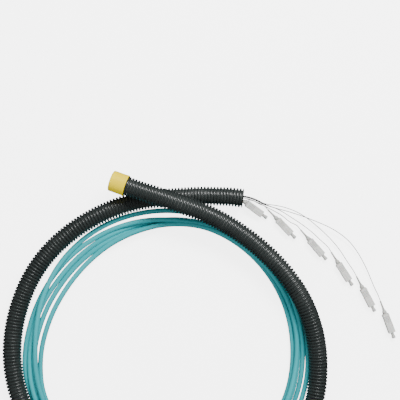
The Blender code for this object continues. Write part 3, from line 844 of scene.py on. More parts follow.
@dataclass(frozen=True)
class TailCoating:
    """The tails' thin coating over the fibre: glossy, dark grey as painted shade and shadow of a pale
    fibre, with slow changes of tone.

    Args:
        body: the coating's colour, a dark grey that paints the shade and shadow of a pale fibre.
        dark: the colour of its darker stretches.
    """

    body: Point = (0.075, 0.075, 0.073)
    dark: Point = (0.025, 0.025, 0.025)

    def material(self) -> bpy.types.Material:
        """Build the finish."""
        graph = MaterialGraph("tail_coating")
        sleeve = graph.field("sleeve").outputs["Vector"]
        shade = graph.noise(graph.stretched(sleeve, (1.0, 1.0, 0.5)), 55.0, 2.0)
        grain = graph.noise(graph.stretched(sleeve, (1.0, 1.0, 0.1)), 6000.0, 2.0)
        # Painted shade: the dark grey stands for the shade and shadow along a thin pale fibre.
        return graph.finish(
            graph.blend(shade.between(0.35, 0.65), self.body, self.dark),
            0.30 + 0.12 * shade,
            graph.relief(grain, 0.01 * MM, 0.3),
            {"IOR": 1.5, "Coat Weight": 0.2, "Coat Roughness": 0.15})


@dataclass(frozen=True)
class FerruleCeramic:
    """The ferrules' polished ceramic: near white, dense and glossy with fine grinding lines.

    Args:
        body: the ceramic's colour.
        cool: the colour of its cooler patches.
    """

    body: Point = (0.84, 0.84, 0.81)
    cool: Point = (0.76, 0.78, 0.79)

    def material(self) -> bpy.types.Material:
        """Build the finish."""
        graph = MaterialGraph("ferrule_ceramic")
        own = graph.field("own").outputs["Vector"]
        patches = graph.noise(own, 900.0, 2.0)
        rings = graph.noise(graph.stretched(own, (1.0, 0.05, 0.05)), 9000.0, 2.0)
        return graph.finish(
            graph.blend(patches, self.body, self.cool),
            0.10 + 0.10 * rings,
            graph.relief(rings, 0.006 * MM, 0.4),
            {"IOR": 2.1, "Coat Weight": 0.3, "Coat Roughness": 0.05})


@dataclass(frozen=True)
class FittingPlastic:
    """Black moulded plastic of the bushes and the breakout: matt, with a fine even grain.

    Args:
        body: the plastic's colour.
        scuffed: the colour of handled patches.
    """

    body: Point = (0.014, 0.014, 0.016)
    scuffed: Point = (0.035, 0.036, 0.038)

    def material(self) -> bpy.types.Material:
        """Build the finish."""
        graph = MaterialGraph("fitting_plastic")
        own = graph.field("own").outputs["Vector"]
        patches = graph.noise(own, 200.0, 4.0, 0.6)
        grain = graph.noise(own, 3000.0, 2.0)
        return graph.finish(
            graph.blend(patches.between(0.5, 0.75), self.body, self.scuffed),
            0.42 + 0.16 * patches,
            graph.relief(grain, 0.06 * MM, 0.5),
            {"IOR": 1.5})


@dataclass(frozen=True)
class FloorPaper:
    """The studio's seamless white paper, lit from behind: matt, with a barely visible tooth.

    Args:
        body: the paper's colour.
        other: a slightly different shade of it.
        glow: how strongly it is lit from behind.
    """

    body: Point = (0.93, 0.93, 0.93)
    other: Point = (0.91, 0.91, 0.91)
    glow: float = 4.2

    def material(self) -> bpy.types.Material:
        """Build the finish."""
        graph = MaterialGraph("floor_paper")
        tooth = graph.noise(graph.place(), 1200.0, 2.0)
        return graph.finish(
            graph.blend(tooth, self.body, self.other),
            0.85 + 0.1 * tooth,
            None,
            {"Specular IOR Level": 0.1, "Emission Color": (1.0, 1.0, 1.0),
             "Emission Strength": self.glow})


def dress(piece: bpy.types.Object, finish: bpy.types.Material, body: str, slot: str,
          *nodes: str) -> bpy.types.Object:
    """Give a piece its finish, body and slot and the solids that it stands for, and log it.

    Args:
        piece: the piece.
        finish: its material.
        body: the name of the body that it moves with.
        slot: the name of its slot; not used.
        nodes: the names of the solids that it replaces.

    Returns:
        The same piece.
    """
    piece.data.materials.append(finish)
    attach(piece, body)
    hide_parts(*nodes)
    LOG.info("%s: %d faces", piece.name, len(piece.data.polygons))
    return piece


@dataclass
class Studio:
    """The camera, the lights and the floor.

    Args:
        camera_at: where the camera hangs.
        view_width: what the picture's width spans on the floor.
        sensor_width: the camera's sensor, in millimetres.
        clip: the nearest and the farthest that the camera sees.
        floor_size: the floor's side.
        floor_drop: how far the floor lies under the object's lowest point.
        strip_at: where the strip light hangs.
        strip_towards: the point that it faces.
        strip_size: its width and height.
        strip_power: its power in watts.
        room_colour: the pale room's light.
        room_fade: the brightness of the room, by the height of the direction.
    """

    camera_at: Point = (0.0443, 0.1784, 1.08)
    view_width: float = 0.52
    sensor_width: float = 36.0
    clip: tuple[float, float] = (0.01, 50.0)
    floor_size: float = 8.0
    floor_drop: float = 0.2 * MM
    strip_at: Point = (0.55, 1.35, 1.45)
    strip_towards: Point = (0.05, 0.05, 0.0)
    strip_size: tuple[float, float] = (1.2, 0.5)
    strip_power: float = 52.0
    room_colour: tuple[float, ...] = (0.98, 0.99, 1.0, 1.0)
    room_fade: tuple[tuple[str, float], ...] = (
        ("From Min", -0.45), ("From Max", 0.05), ("To Min", 0.04), ("To Max", 0.76))

    def hang_camera(self) -> None:
        """A camera that looks straight down, with the picture's upper edge towards +Y."""
        data = bpy.data.cameras.new("camera")
        data.sensor_width = self.sensor_width
        data.lens = data.sensor_width * self.camera_at[2] / self.view_width
        data.clip_start, data.clip_end = self.clip
        camera = bpy.data.objects.new("camera", data)
        camera.location = self.camera_at
        bpy.context.scene.collection.objects.link(camera)
        bpy.context.scene.camera = camera

    def lay_floor(self) -> None:
        """A level sheet of white paper under the object, as a grid of two by two quads."""
        side = 3
        steps = np.linspace(-self.floor_size / 2, self.floor_size / 2, side)
        x, y = np.meshgrid(steps, steps, indexing="ij")
        points = np.column_stack((x.ravel(), y.ravel(), np.full(side * side, -self.floor_drop)))
        corner = np.array((0, 1, side, side + 1))
        faces = np.column_stack((corner, corner + side, corner + side + 1, corner + 1))
        mesh = bpy.data.meshes.new("floor")
        mesh.from_pydata(points.tolist(), [], faces.tolist())
        mesh.materials.append(FloorPaper().material())
        floor = bpy.data.objects.new("floor", mesh)
        floor.visible_glossy = False
        floor.visible_diffuse = False
        bpy.context.scene.collection.objects.link(floor)

    def hang_strip(self) -> None:
        """A strip of soft light beyond the picture's upper edge."""
        data = bpy.data.lights.new("strip", "AREA")
        data.shape = "RECTANGLE"
        data.size, data.size_y = self.strip_size
        data.energy = self.strip_power
        light = bpy.data.objects.new("strip", data)
        light.location = self.strip_at
        aim = Vector(self.strip_towards) - Vector(self.strip_at)
        light.rotation_euler = aim.to_track_quat("-Z", "Y").to_euler()
        bpy.context.scene.collection.objects.link(light)

    def light_room(self) -> None:
        """A pale room, bright above and dark below, that glossy surfaces don't mirror."""
        world = bpy.data.worlds.new("room")
        world.use_nodes = True
        world.cycles_visibility.glossy = False
        nodes, links = world.node_tree.nodes, world.node_tree.links
        background = nodes["Background"].inputs
        background["Color"].default_value = self.room_colour
        direction = nodes.new("ShaderNodeTexCoord")
        parts = nodes.new("ShaderNodeSeparateXYZ")
        fade = nodes.new("ShaderNodeMapRange")
        fade.interpolation_type = "SMOOTHSTEP"
        for title, value in self.room_fade:
            fade.inputs[title].default_value = value
        links.new(direction.outputs["Generated"], parts.inputs["Vector"])
        links.new(parts.outputs["Z"], fade.inputs["Value"])
        links.new(fade.outputs["Result"], background["Strength"])
        bpy.context.scene.world = world

    def set_up(self) -> None:
        """Make all of it."""
        self.hang_camera()
        self.lay_floor()
        self.hang_strip()
        self.light_room()


@dataclass
class Conduits:
    """Both corrugated conduits, and the centre lines that the other pieces follow.

    Args:
        outer: the radius over the ribs.
        groove: how deep the grooves are.
        wall: the wall's thickness.
        pitch: the distance from rib to rib.
        sides: how many points go round.
        cap_end_wall: how far inside the cap's face the capped conduit starts.
        turn_radius: the mean radius of the open conduit's turn, in millimetres.
        inner_end_angle: where that turn starts, round the coil.
        turn_points: how many points the turn's route has.
        sways: the angle where the turn strays from its radius, how far that reaches each way
            and how much it is, in degrees and millimetres.
        rib_phases: where the outer wave's heights lie within one pitch, from 0 to 1.
        rib_heights: the heights there, from 0 in the groove to 1 on the crest.
        bore_phases: the same for the wave of the bore.
        bore_heights: the heights there.
        bore_wear: how much of the crests' wear the bore's crests have.
    """

    outer: float = 12.2 * MM
    groove: float = 2.4 * MM
    wall: float = 0.5 * MM
    pitch: float = 4.1 * MM
    sides: int = 36
    cap_end_wall: float = 1.8 * MM
    turn_radius: float = 195.4
    inner_end_angle: float = 240.0
    turn_points: int = 30
    sways: tuple[Point, ...] = ((118.0, 34.0, -2.2), (188.0, 30.0, 1.2))
    rib_phases: tuple[float, ...] = (
        0.0, 0.17, 0.24, 0.29, 0.34, 0.39, 0.50, 0.61, 0.66, 0.71, 0.76, 0.83)
    rib_heights: tuple[float, ...] = (
        1.0, 0.99, 0.90, 0.55, 0.15, 0.02, 0.0, 0.02, 0.15, 0.55, 0.90, 0.99)
    bore_phases: tuple[float, ...] = (0.0, 0.26, 0.40, 0.60, 0.74)
    bore_heights: tuple[float, ...] = (1.0, 0.80, 0.0, 0.0, 0.80)
    bore_wear: float = 0.4

    def cap_axis(self) -> tuple[Array, Array]:
        """The cap's closed face and the direction from it into the conduit."""
        face, beside = placed(CAPPED_ROUTE[:2])
        return face, unit(beside - face)

    def capped_path(self) -> Path:
        """The capped conduit's centre line, from inside the cap to its inner end."""
        face, inwards = self.cap_axis()
        points = placed(CAPPED_ROUTE)
        points[0] = face + inwards * self.cap_end_wall
        return Path.through(points, ROUTE_STEP)

    def open_path(self) -> Path:
        """The open conduit's centre line: an arc round the coil, then the straight stretch.

        Where the arc sways, a cosine squared from one end of the sway's reach to the other is
        added to its radius.

        Returns:
            The path.
        """
        angles = np.linspace(self.inner_end_angle, 90.0, self.turn_points + 1)[:-1]
        radius = np.full(len(angles), self.turn_radius)
        for middle, reach, amount in self.sways:
            radius += amount * np.cos(np.pi / 2 * np.clip((angles - middle) / reach, -1, 1)) ** 2
        turn, level = np.radians(angles), np.full(len(angles), self.outer / MM)
        arc = np.column_stack((radius * np.cos(turn), radius * np.sin(turn), level))
        return Path.through(placed(np.vstack((arc, OPEN_STRAIGHT))), ROUTE_STEP)

    def wave(self, length: float, phases: tuple[float, ...],
             heights: tuple[float, ...]) -> tuple[Array, Array]:
        """A rib's height at stations along the whole length.

        The same few heights repeat in a whole number of ribs, with a crest at either end.

        Args:
            length: the conduit's length.
            phases: where the heights lie within one pitch, from 0 to 1.
            heights: the heights there, from 0 in the groove to 1 on the crest.

        Returns:
            The stations, and the height at each.
        """
        ribs = round(length / self.pitch)
        places = (np.arange(ribs)[:, None] + np.array(phases)[None, :]).ravel()
        stations = np.append(places, ribs) * length / ribs
        return stations, np.append(np.tile(heights, ribs), heights[0])

    def build(self, name: str, node: str, path: Path, finish: bpy.types.Material) -> None:
        """A corrugated tube with its wall.

        The outer radius is the crest's less the groove's depth times one less the rib's
        height. The inner surface is the same wave, a wall's thickness further in.

        Args:
            name: the piece's name.
            node: the solid that it stands for.
            path: its centre line.
            finish: its material.
        """
        outside, crest = self.wave(path.length, self.rib_phases, self.rib_heights)
        inside, hollow = self.wave(path.length, self.bore_phases, self.bore_heights)
        stations = np.concatenate((outside, inside[::-1]))
        outer = self.outer - self.groove * (1.0 - crest)
        inner = self.outer - self.wall - self.groove * (1.0 - hollow)
        radii = np.concatenate((outer, inner[::-1]))
        skin = swept(path, stations, radii, self.sides, True)
        height = np.concatenate((crest, self.bore_wear * hollow[::-1]))
        skin.fields["rib"] = np.repeat(height, self.sides)
        dress(skin.build(name, 60.0), finish, "cable", "black_conduit", node)

    def build_both(self) -> None:
        """Both conduits."""
        finish = ConduitPlastic().material()
        self.build("ribbed_conduit_capped", "capped_conduit", self.capped_path(), finish)
        self.build("ribbed_conduit_open", "open_conduit", self.open_path(), finish)


@dataclass
class Bushes:
    """The bush in each conduit's inner end, and the breakout body inside the open conduit.

    Args:
        clearance: the gap at a joint.
        bore: the radius of the hole for the trunk.
        spigot: length and radius of the part inside the conduit.
        flange: length and radius of the flange.
        neck: length and radius of the neck.
        neck_profile: the neck's grooves, as shares of its length and of a groove's depth.
        neck_groove: how deep a groove is.
        breakout: length and radius of the breakout body.
        breakout_from_mouth: how far its middle is from the conduit's mouth.
    """

    clearance: float = 0.3 * MM
    bore: float = 4.15 * MM
    spigot: tuple[float, float] = (12.0 * MM, 8.6 * MM)
    flange: tuple[float, float] = (3.0 * MM, 11.0 * MM)
    neck: tuple[float, float] = (11.0 * MM, 6.0 * MM)
    neck_profile: tuple[tuple[float, float], ...] = (
        (0.66, 0.0), (0.62, 1.0), (0.54, 1.0), (0.50, 0.0), (0.38, 0.0), (0.34, 1.0), (0.26, 1.0),
        (0.22, 0.0))
    neck_groove: float = 0.5 * MM
    breakout: tuple[float, float] = (36.0 * MM, 7.0 * MM)
    breakout_from_mouth: float = 112.0 * MM

    @property
    def reach(self) -> float:
        """How far a bush stands out of its conduit."""
        return self.clearance + self.flange[0] + self.neck[0]

    def breakout_axis(self, path: Path) -> tuple[Array, Array]:
        """The breakout's middle and its direction towards the mouth."""
        middle = path.length - self.breakout_from_mouth
        back, front = path.at(np.array((middle - self.breakout[0] / 2, middle + self.breakout[0] / 2)))
        return (back + front) / 2, unit(front - back)

    def build_bush(self, node: str, end: Array, outwards: Array, finish: bpy.types.Material) -> None:
        """A flanged bush with a ribbed neck.

        Args:
            node: the solid that it stands for.
            end: the middle of the conduit's end.
            outwards: the direction out of the conduit.
            finish: its material.
        """
        flange_end = self.clearance + self.flange[0]
        radius = self.neck[1]
        grooves = [(flange_end + self.neck[0] * part, radius - self.neck_groove * depth)
                   for part, depth in self.neck_profile]
        corners = [
            (self.reach, self.bore), (self.reach, radius - 0.8 * MM), (self.reach - 0.8 * MM, radius),
            *grooves, (flange_end, radius), (flange_end, self.flange[1]),
            (self.clearance, self.flange[1]), (self.clearance, self.spigot[1]),
            (-self.spigot[0], self.spigot[1]), (-self.spigot[0], self.bore),
        ]
        skin = turned(softened(corners, 0.25 * MM), facing(end, outwards), 48, hollow=True)
        dress(skin.build(f"turned_{node}"), finish, "cable", "black_fitting", node)

    def build_breakout(self, path: Path, finish: bpy.types.Material) -> None:
        """The breakout body: a turned barrel with a step and rounded ends.

        Args:
            path: the open conduit's centre line.
            finish: its material.
        """
        middle, ahead = self.breakout_axis(path)
        half, radius = self.breakout[0] / 2, self.breakout[1]
        corners = [
            (half, 0.0), (half, radius - 1.5 * MM), (half - 1.5 * MM, radius), (half * 0.45, radius),
            (half * 0.40, radius - 0.6 * MM), (-half * 0.40, radius - 0.6 * MM),
            (-half * 0.45, radius), (1.5 * MM - half, radius), (-half, radius - 1.5 * MM), (-half, 0.0),
        ]
        skin = turned(softened(corners, 0.6 * MM), facing(middle, ahead), 40)
        dress(skin.build("turned_breakout"), finish, "cable", "black_fitting", "breakout_body")

    def build_all(self, capped: Path, opened: Path) -> None:
        """Both bushes and the breakout body."""
        finish = FittingPlastic().material()
        for node, end, before in (
                ("capped_conduit_bush", capped.points[-1], capped.points[-2]),
                ("open_conduit_bush", opened.points[0], opened.points[1])):
            self.build_bush(node, end, end - before, finish)
        self.build_breakout(opened, finish)


@dataclass
class EndCap:
    """The soft push-on cap.

    Args:
        length: its whole length.
        radius: its outer radius.
        bore: its inner radius.
        end_wall: the closed end's thickness.
    """

    length: float = 20.8 * MM
    radius: float = 13.6 * MM
    bore: float = 12.5 * MM
    end_wall: float = 1.5 * MM

    def build(self, face: Array, inwards: Array) -> None:
        """A cup with a soft shoulder, a rolled lip and faint hollows from its mould.

        Args:
            face: the middle of the closed face.
            inwards: the direction from it into the conduit.
        """
        outer = self.radius
        corners = [
            (-self.end_wall, 0.0), (-self.end_wall, self.bore), (-self.length, self.bore),
            (-self.length, outer - 0.1 * MM), (-self.length + 1.6 * MM, outer),
            (-self.length + 2.6 * MM, outer - 0.22 * MM), (-self.length * 0.5, outer - 0.30 * MM),
            (-1.8 * MM, outer - 0.25 * MM), (-0.7 * MM, outer - 0.55 * MM), (0.0, outer - 1.9 * MM),
            (0.0, outer * 0.62), (-0.25 * MM, outer * 0.55), (-0.25 * MM, 0.0),
        ]
        skin = turned(softened(corners, 0.55 * MM, 6), facing(face, -inwards), 72)
        dress(skin.build("soft_cap", 50.0), CapVinyl().material(), "cap", "yellow_cap", "end_cap")


@dataclass
class Trunk:
    """The aqua trunk cable: one length, from inside one conduit round the coil into the other.

    Args:
        diameter: the jacket's diameter.
        start: how far inside the capped conduit the cable starts.
        sides: how many points go round.
        step: the distance from ring to ring.
        inside_step: the distance between the route's points inside a conduit.
        coil_step: how many degrees lie between the route's points on a turn.
        softening: how far the turns' values are smoothed, in degrees.
        breakout_lead: how far before the breakout the cable leaves the conduit's middle.
        breakout_straight: how far it runs straight into the breakout.
    """

    diameter: float = 6.5 * MM
    start: float = 90.0 * MM
    sides: int = 16
    step: float = 3.5 * MM
    inside_step: float = 30.0 * MM
    coil_step: int = 4
    softening: int = 3
    breakout_lead: float = 45.0 * MM
    breakout_straight: float = 15.0 * MM

    def control_rows(self) -> Array:
        """Angle, radius and layer of every point that the turns pass through, in order."""
        rows = [np.array(COIL_ENTRY, dtype=float)]
        for turn, (radii, layers) in enumerate(zip(TURN_RADII, TURN_LAYERS)):
            back = np.array((-360.0 * turn, 0.0, 0.0))
            rows.append(np.column_stack((TURN_ANGLES, radii, layers)) + back)
            following = CROSSOVERS[turn] if turn < len(CROSSOVERS) else COIL_EXIT
            rows.append(np.array(following, dtype=float) + back)
        return np.vstack(rows)

    @staticmethod
    def monotone(known: Array, values: Array, wanted: Array) -> Array:
        """A cubic curve through the values that never overshoots them.

        Each inner slope is the weighted harmonic mean of the slopes on either side, or none
        where those differ in sign.

        Args:
            known: where the values are known, rising.
            values: the values.
            wanted: where they are wanted.

        Returns:
            The values there.
        """
        gap = np.diff(known)
        slope = np.diff(values) / gap
        ahead, behind = 2 * gap[1:] + gap[:-1], gap[1:] + 2 * gap[:-1]
        alike = slope[:-1] * slope[1:] > 0
        safe_left = np.where(alike, slope[:-1], 1.0)
        safe_right = np.where(alike, slope[1:], 1.0)
        inner = np.where(alike, (ahead + behind) / (ahead / safe_left + behind / safe_right), 0.0)
        tangent = np.concatenate((slope[:1], inner, slope[-1:]))
        index = np.clip(np.searchsorted(known, wanted, side="right") - 1, 0, len(gap) - 1)
        width = gap[index]
        t = (wanted - known[index]) / width
        leaving = (1 + 2 * t) * (1 - t) ** 2 * values[index] + t * (1 - t) ** 2 * width * tangent[index]
        index = index + 1
        return leaving + t * t * (3 - 2 * t) * values[index] + t * t * (t - 1) * width * tangent[index]

    def smoothed(self, values: Array) -> Array:
        """The values under a bell-shaped running mean."""
        reach = 3 * self.softening
        window = np.exp(-0.5 * (np.arange(-reach, reach + 1) / self.softening) ** 2)
        return np.convolve(np.pad(values, reach, mode="edge"), window / window.sum(), mode="valid")

    def coil_points(self) -> Array:
        """The turns, one point for each degree.

        The height is half the diameter plus the layer times the diameter.

        Returns:
            The points in the model's frame.
        """
        angles, radii, layers = self.control_rows().T
        fine = np.arange(angles[0], angles[-1] - 0.5, -1.0)
        thick = self.diameter / MM
        radius = self.smoothed(self.monotone(-angles, radii, -fine))
        height = self.smoothed(self.monotone(-angles, thick / 2 + thick * layers, -fine))
        turn = np.radians(fine)
        return placed(np.column_stack((radius * np.cos(turn), radius * np.sin(turn), height)))

    def past_bush(self, end: Array, before: Array, reach: float) -> Array:
        """Where the cable comes out of the bush in a conduit's end."""
        return end + unit(end - before) * (reach + self.diameter / 2)

    def path(self, capped: Path, opened: Path, bushes: Bushes) -> Path:
        """The whole centre line.

        Args:
            capped: the capped conduit's centre line.
            opened: the open conduit's.
            bushes: the bushes and the breakout body.

        Returns:
            The path from inside the capped conduit to the breakout's rear.
        """
        middle, ahead = bushes.breakout_axis(opened)
        rear = middle - ahead * (bushes.breakout[0] / 2 + bushes.clearance)
        behind_mouth = bushes.breakout_from_mouth + bushes.breakout[0] / 2 + self.breakout_lead
        return Path.through(np.vstack((
            capped.between(self.start, capped.length, self.inside_step),
            self.past_bush(capped.points[-1], capped.points[-2], bushes.reach),
            placed(LEAD_FROM_CAPPED),
            self.coil_points()[::self.coil_step],
            placed(LEAD_TO_OPEN),
            self.past_bush(opened.points[0], opened.points[1], bushes.reach),
            opened.between(0.0, opened.length - behind_mouth, self.inside_step),
            rear - ahead * self.breakout_straight,
            rear,
        )), self.step)

    def build(self, path: Path) -> None:
        """The jacket, as a round section carried along the path.

        Args:
            path: the centre line.
        """
        stations = path.distances
        radii = np.full(len(stations), self.diameter / 2)
        skin = swept(path, stations, radii, self.sides, False)
        piece = dress(
            skin.build("trunk_cable"), JacketPlastic().material(), "cable", "aqua_jacket",
            "trunk_coil", "trunk_lead_capped", "trunk_lead_open")


@dataclass
class Plug:
    """One push-pull plug: boot, grip, inner frame, ferrule and dust cap.

    Distances run from the grip's back towards its front.

    Args:
        number: which tail it ends.
        grip: the grip's length, width and height.
        grip_wall: the grip's wall.
        travel: the room behind the grip.
        boot_length: the boot's length.
        collar: length and radius of the boot's collar.
        rings: how many grooves the boot and the grip have.
        boot_rings: the first groove's place behind the collar, their spacing and half their width.
        grip_rings: the same from the grip's back.
        clearance: the gap at a joint.
        frame_recess: how far the inner frame ends behind the grip's front.
        ferrule: length and radius of the ferrule.
        dust_cap: the dust cap's length and the depth of its bore.
        segments: how many points go round a turned piece.
    """

    number: int
    grip: Point = (24.9 * MM, 9.0 * MM, 7.4 * MM)
    grip_wall: float = 1.0 * MM
    travel: float = 1.8 * MM
    boot_length: float = 16.5 * MM
    collar: tuple[float, float] = (2.4 * MM, 2.8 * MM)
    rings: int = 5
    boot_rings: Point = (2.0 * MM, 2.1 * MM, 0.42 * MM)
    grip_rings: Point = (3.6 * MM, 1.7 * MM, 0.5 * MM)
    clearance: float = 0.3 * MM
    frame_recess: float = 0.5 * MM
    ferrule: tuple[float, float] = (6.3 * MM, 1.25 * MM)
    dust_cap: tuple[float, float] = (8.0 * MM, 6.6 * MM)
    segments: int = 32

    @property
    def placement(self) -> Matrix:
        """A matrix at the back of the grip, with X towards its front."""
        centre, heading, dip = PLUGS[self.number - 1]
        swing = Matrix.Rotation(math.radians(heading), 4, "Z")
        tilt = Matrix.Rotation(math.radians(dip), 4, "Y")
        back = Matrix.Translation(Vector((-self.grip[0] / 2, 0.0, 0.0)))
        return Matrix.Translation(Vector(placed((centre,))[0])) @ swing @ tilt @ back

    @property
    def tail_entry(self) -> float:
        """Where the tail meets the boot's rear."""
        return -self.travel - self.boot_length - self.clearance

    @property
    def frame_front(self) -> float:
        """Where the inner frame ends."""
        return self.grip[0] - self.frame_recess

    def finish(self, skin: Skin, relief: Array, name: str, node: str, body: str, slot: str,
               material: bpy.types.Material) -> bpy.types.Object:
        """Build, dress and place one piece of the plug.

        Args:
            skin: its surface.
            relief: how deep each point lies in a hollow, from 0 to 1, which the finish turns into
                painted shade.
            name: the piece's name, without its number.
            node: the solid that it stands for, without its number.
            body: the body that it moves with.
            slot: its slot, passed on to dress.
            material: its finish.

        Returns:
            The piece.
        """
        skin.fields["relief"] = np.concatenate((relief, np.zeros(len(skin.points) - len(relief))))
        piece = skin.build(f"{name}_{self.number}")
        return dress(piece, material, body, slot, f"{node}_{self.number}")

    def grooves(self, along: Array, spacing: Point, edge: float) -> Array:
        """1 in each ring groove and 0 between them.

        Args:
            along: the places to work it out for.
            spacing: the first groove's place, the distance between grooves and half their width.
            edge: how wide a groove's smooth edge is.

        Returns:
            The value at each place.
        """
        first, pitch, half = spacing
        middles = first + pitch * np.arange(self.rings)[:, None]
        return plateau(along - middles, -half, half, edge).max(axis=0)

    def build_boot(self, material: bpy.types.Material) -> bpy.types.Object:
        """The boot: a taper with ring grooves, then a collar.

        The radius falls from the collar to the tail, fast at first, less a smooth groove at
        each ring.

        Args:
            material: its finish.

        Returns:
            The piece.
        """
        front, collar = -self.travel, -self.travel - self.collar[0]
        rear = front - self.boot_length
        along = np.linspace(collar - 0.1 * MM, rear + 0.35 * MM, 110)
        share = (along - rear) / (collar - rear)
        groove = self.grooves(collar - along, self.boot_rings, 0.2 * MM)
        radius = (1.05 + 0.35 * share + 1.2 * share ** 7) * MM - groove * (0.12 + 0.16 * share) * MM
        head = softened(
            ((front, 0.0), (front, self.collar[1]), (collar, self.collar[1]), (collar, 2.55 * MM)),
            0.35 * MM)
        tail = np.array(((rear + 0.1 * MM, 1.05 * MM), (rear, 0.9 * MM), (rear, 0.0)))
        profile = np.vstack((head, np.column_stack((along, radius)), tail))
        # The ring grooves get painted shade through the relief field.
        relief = np.zeros(len(profile))
        relief[len(head):len(head) + len(groove)] = groove
        return self.finish(
            turned(profile, self.placement, self.segments), np.repeat(relief[1:-1], self.segments),
            "ringed_boot", "boot", "cable", "pale_boot", material)

    def build_grip(self, material: bpy.types.Material) -> bpy.types.Object:
        """The grip: a sleeve with finger ridges, side windows and a key along its top.

        The section is a rounded rectangle. It stands in at both ends and at each groove
        between ridges, and a window is a smooth-edged hollow in each side.

        Args:
            material: its finish.

        Returns:
            The piece.
        """
        length, width, height = self.grip
        outline = Outline(11, 5)
        place, outward = outline.layout()
        along = np.concatenate((np.linspace(0.0, 0.5, 4)[:-1], np.linspace(0.5, 24.4, 118)[:-1],
                                np.linspace(24.4, 24.9, 4))) * MM
        ends = sum(
            0.35 * MM * (1 - np.sqrt(1 - np.clip(1 - gap / (0.5 * MM), 0, 1) ** 2))
            for gap in (along, length - along))
        grooves = self.grooves(along, self.grip_rings, 0.28 * MM)
        waist = plateau(along, 2.6 * MM, 11.4 * MM, 0.8 * MM)
        side = np.abs(outward[:, 0]) ** 6
        top = np.clip(outward[:, 1], 0, 1) ** 6
        flat = np.maximum(np.abs(outward[:, 0]), np.abs(outward[:, 1])) ** 6
        window = plateau(along, 12.6 * MM, 22.6 * MM, 0.5 * MM)[:, None] * (
            side * (1 - rise(np.abs(place[:, 1]), 0.50, 0.68)))[None, :]
        key = plateau(along, 14.2 * MM, 24.2 * MM, 0.4 * MM)[:, None] * (
            top * (1 - rise(np.abs(place[:, 0]), 0.24, 0.36)))[None, :]
        ridge = grooves[:, None] * flat[None, :]
        bumps = -0.55 * MM * window + 0.22 * MM * key - 0.28 * MM * ridge - 0.12 * MM * waist[:, None]
        halves = np.column_stack((width / 2 - ends, height / 2 - ends))
        inner_along = np.array(
            (length - 0.15 * MM, length - 1.0 * MM, length / 2, 1.0 * MM, 0.15 * MM))
        inner_halves = np.tile((width / 2 - self.grip_wall, height / 2 - self.grip_wall), (5, 1))
        inner_halves[[0, -1]] += 0.15 * MM
        skin = lofted(
            np.concatenate((along, inner_along)), np.vstack((halves, inner_halves)),
            np.concatenate((np.full(len(along), 0.9 * MM), np.full(5, 0.45 * MM))),
            np.vstack((bumps, np.zeros((5, len(place))))), outline, self.placement, True)
        # Painted shade: the side windows, the grooves between ridges and the grip's inside are
        # darkened; along the sides it stands in for the shadow beside the grip.
        hollow = np.vstack((np.maximum(window, 0.6 * ridge), np.ones((5, len(place)))))
        body = f"grip_body_{self.number}"
        return self.finish(skin, hollow.ravel(), "ridged_grip", "grip", body, "pale_grip", material)

    def build_frame(self, material: bpy.types.Material) -> bpy.types.Object:
        """The inner frame: a bar with rounded edges and a step round its nose.

        Args:
            material: its finish.

        Returns:
            The piece.
        """
        back, front = -self.travel + self.clearance, self.frame_front
        room = self.grip_wall + self.clearance
        half = np.array((self.grip[1] / 2 - room, self.grip[2] / 2 - room))
        stations = np.array((
            back, back + 0.1 * MM, back + 0.3 * MM, front - 2.2 * MM, front - 2.0 * MM,
            front - 0.3 * MM, front - 0.1 * MM, front))
        inset = np.array((0.3, 0.1, 0.0, 0.0, 0.25, 0.25, 0.35, 0.6)) * MM
        outline = Outline(5, 5)
        count = len(outline.layout()[0])
        skin = lofted(
            stations, half[None, :] - inset[:, None], np.full(len(stations), 0.6 * MM),
            np.zeros((len(stations), count)), outline, self.placement, False)
        # Painted shade at the frame's back and at the step round its nose.
        relief = np.repeat(np.array((0.6, 0.3, 0.0, 0.0, 0.5, 0.2, 0.2, 0.5)), count)
        return self.finish(skin, relief, "inner_frame", "plug_frame", "cable", "pale_frame", material)

    def build_ferrule(self, material: bpy.types.Material) -> bpy.types.Object:
        """The ferrule: a ground cylinder with a bevelled tip.

        Args:
            material: its finish.

        Returns:
            The piece.
        """
        length, radius = self.ferrule
        back = self.frame_front + self.clearance
        front = back + length
        corners = (
            (front, 0.0), (front, radius - 0.5 * MM), (front - 0.55 * MM, radius), (back, radius),
            (back, 0.0))
        skin = turned(softened(corners, 0.12 * MM), self.placement, self.segments)
        return self.finish(
            skin, np.zeros(1), "ground_ferrule", "ferrule", "cable", "ceramic", material)

    def build_dust_cap(self, material: bpy.types.Material) -> bpy.types.Object:
        """The dust cap: a cup with a narrow stem and a rounded knob.

        Args:
            material: its finish.

        Returns:
            The piece.
        """
        back = self.frame_front + self.clearance
        front, floor = back + self.dust_cap[0], back + self.dust_cap[1]
        corners = (
            (front - 0.25 * MM, 0.0), (front - 0.25 * MM, 0.9 * MM), (front, 1.2 * MM),
            (front, 2.0 * MM), (front - 0.5 * MM, 2.4 * MM), (front - 3.0 * MM, 2.4 * MM),
            (front - 3.6 * MM, 1.95 * MM), (back + 0.9 * MM, 1.95 * MM),
            (back + 0.6 * MM, 2.25 * MM), (back, 2.25 * MM), (back, 1.55 * MM),
            (floor, 1.55 * MM), (floor, 0.0),
        )
        skin = turned(softened(corners, 0.3 * MM), self.placement, self.segments)
        return self.finish(
            skin, np.zeros(1), "knobbed_dust_cap", "dust_cap", "cable", "grey_dust_cap", material)


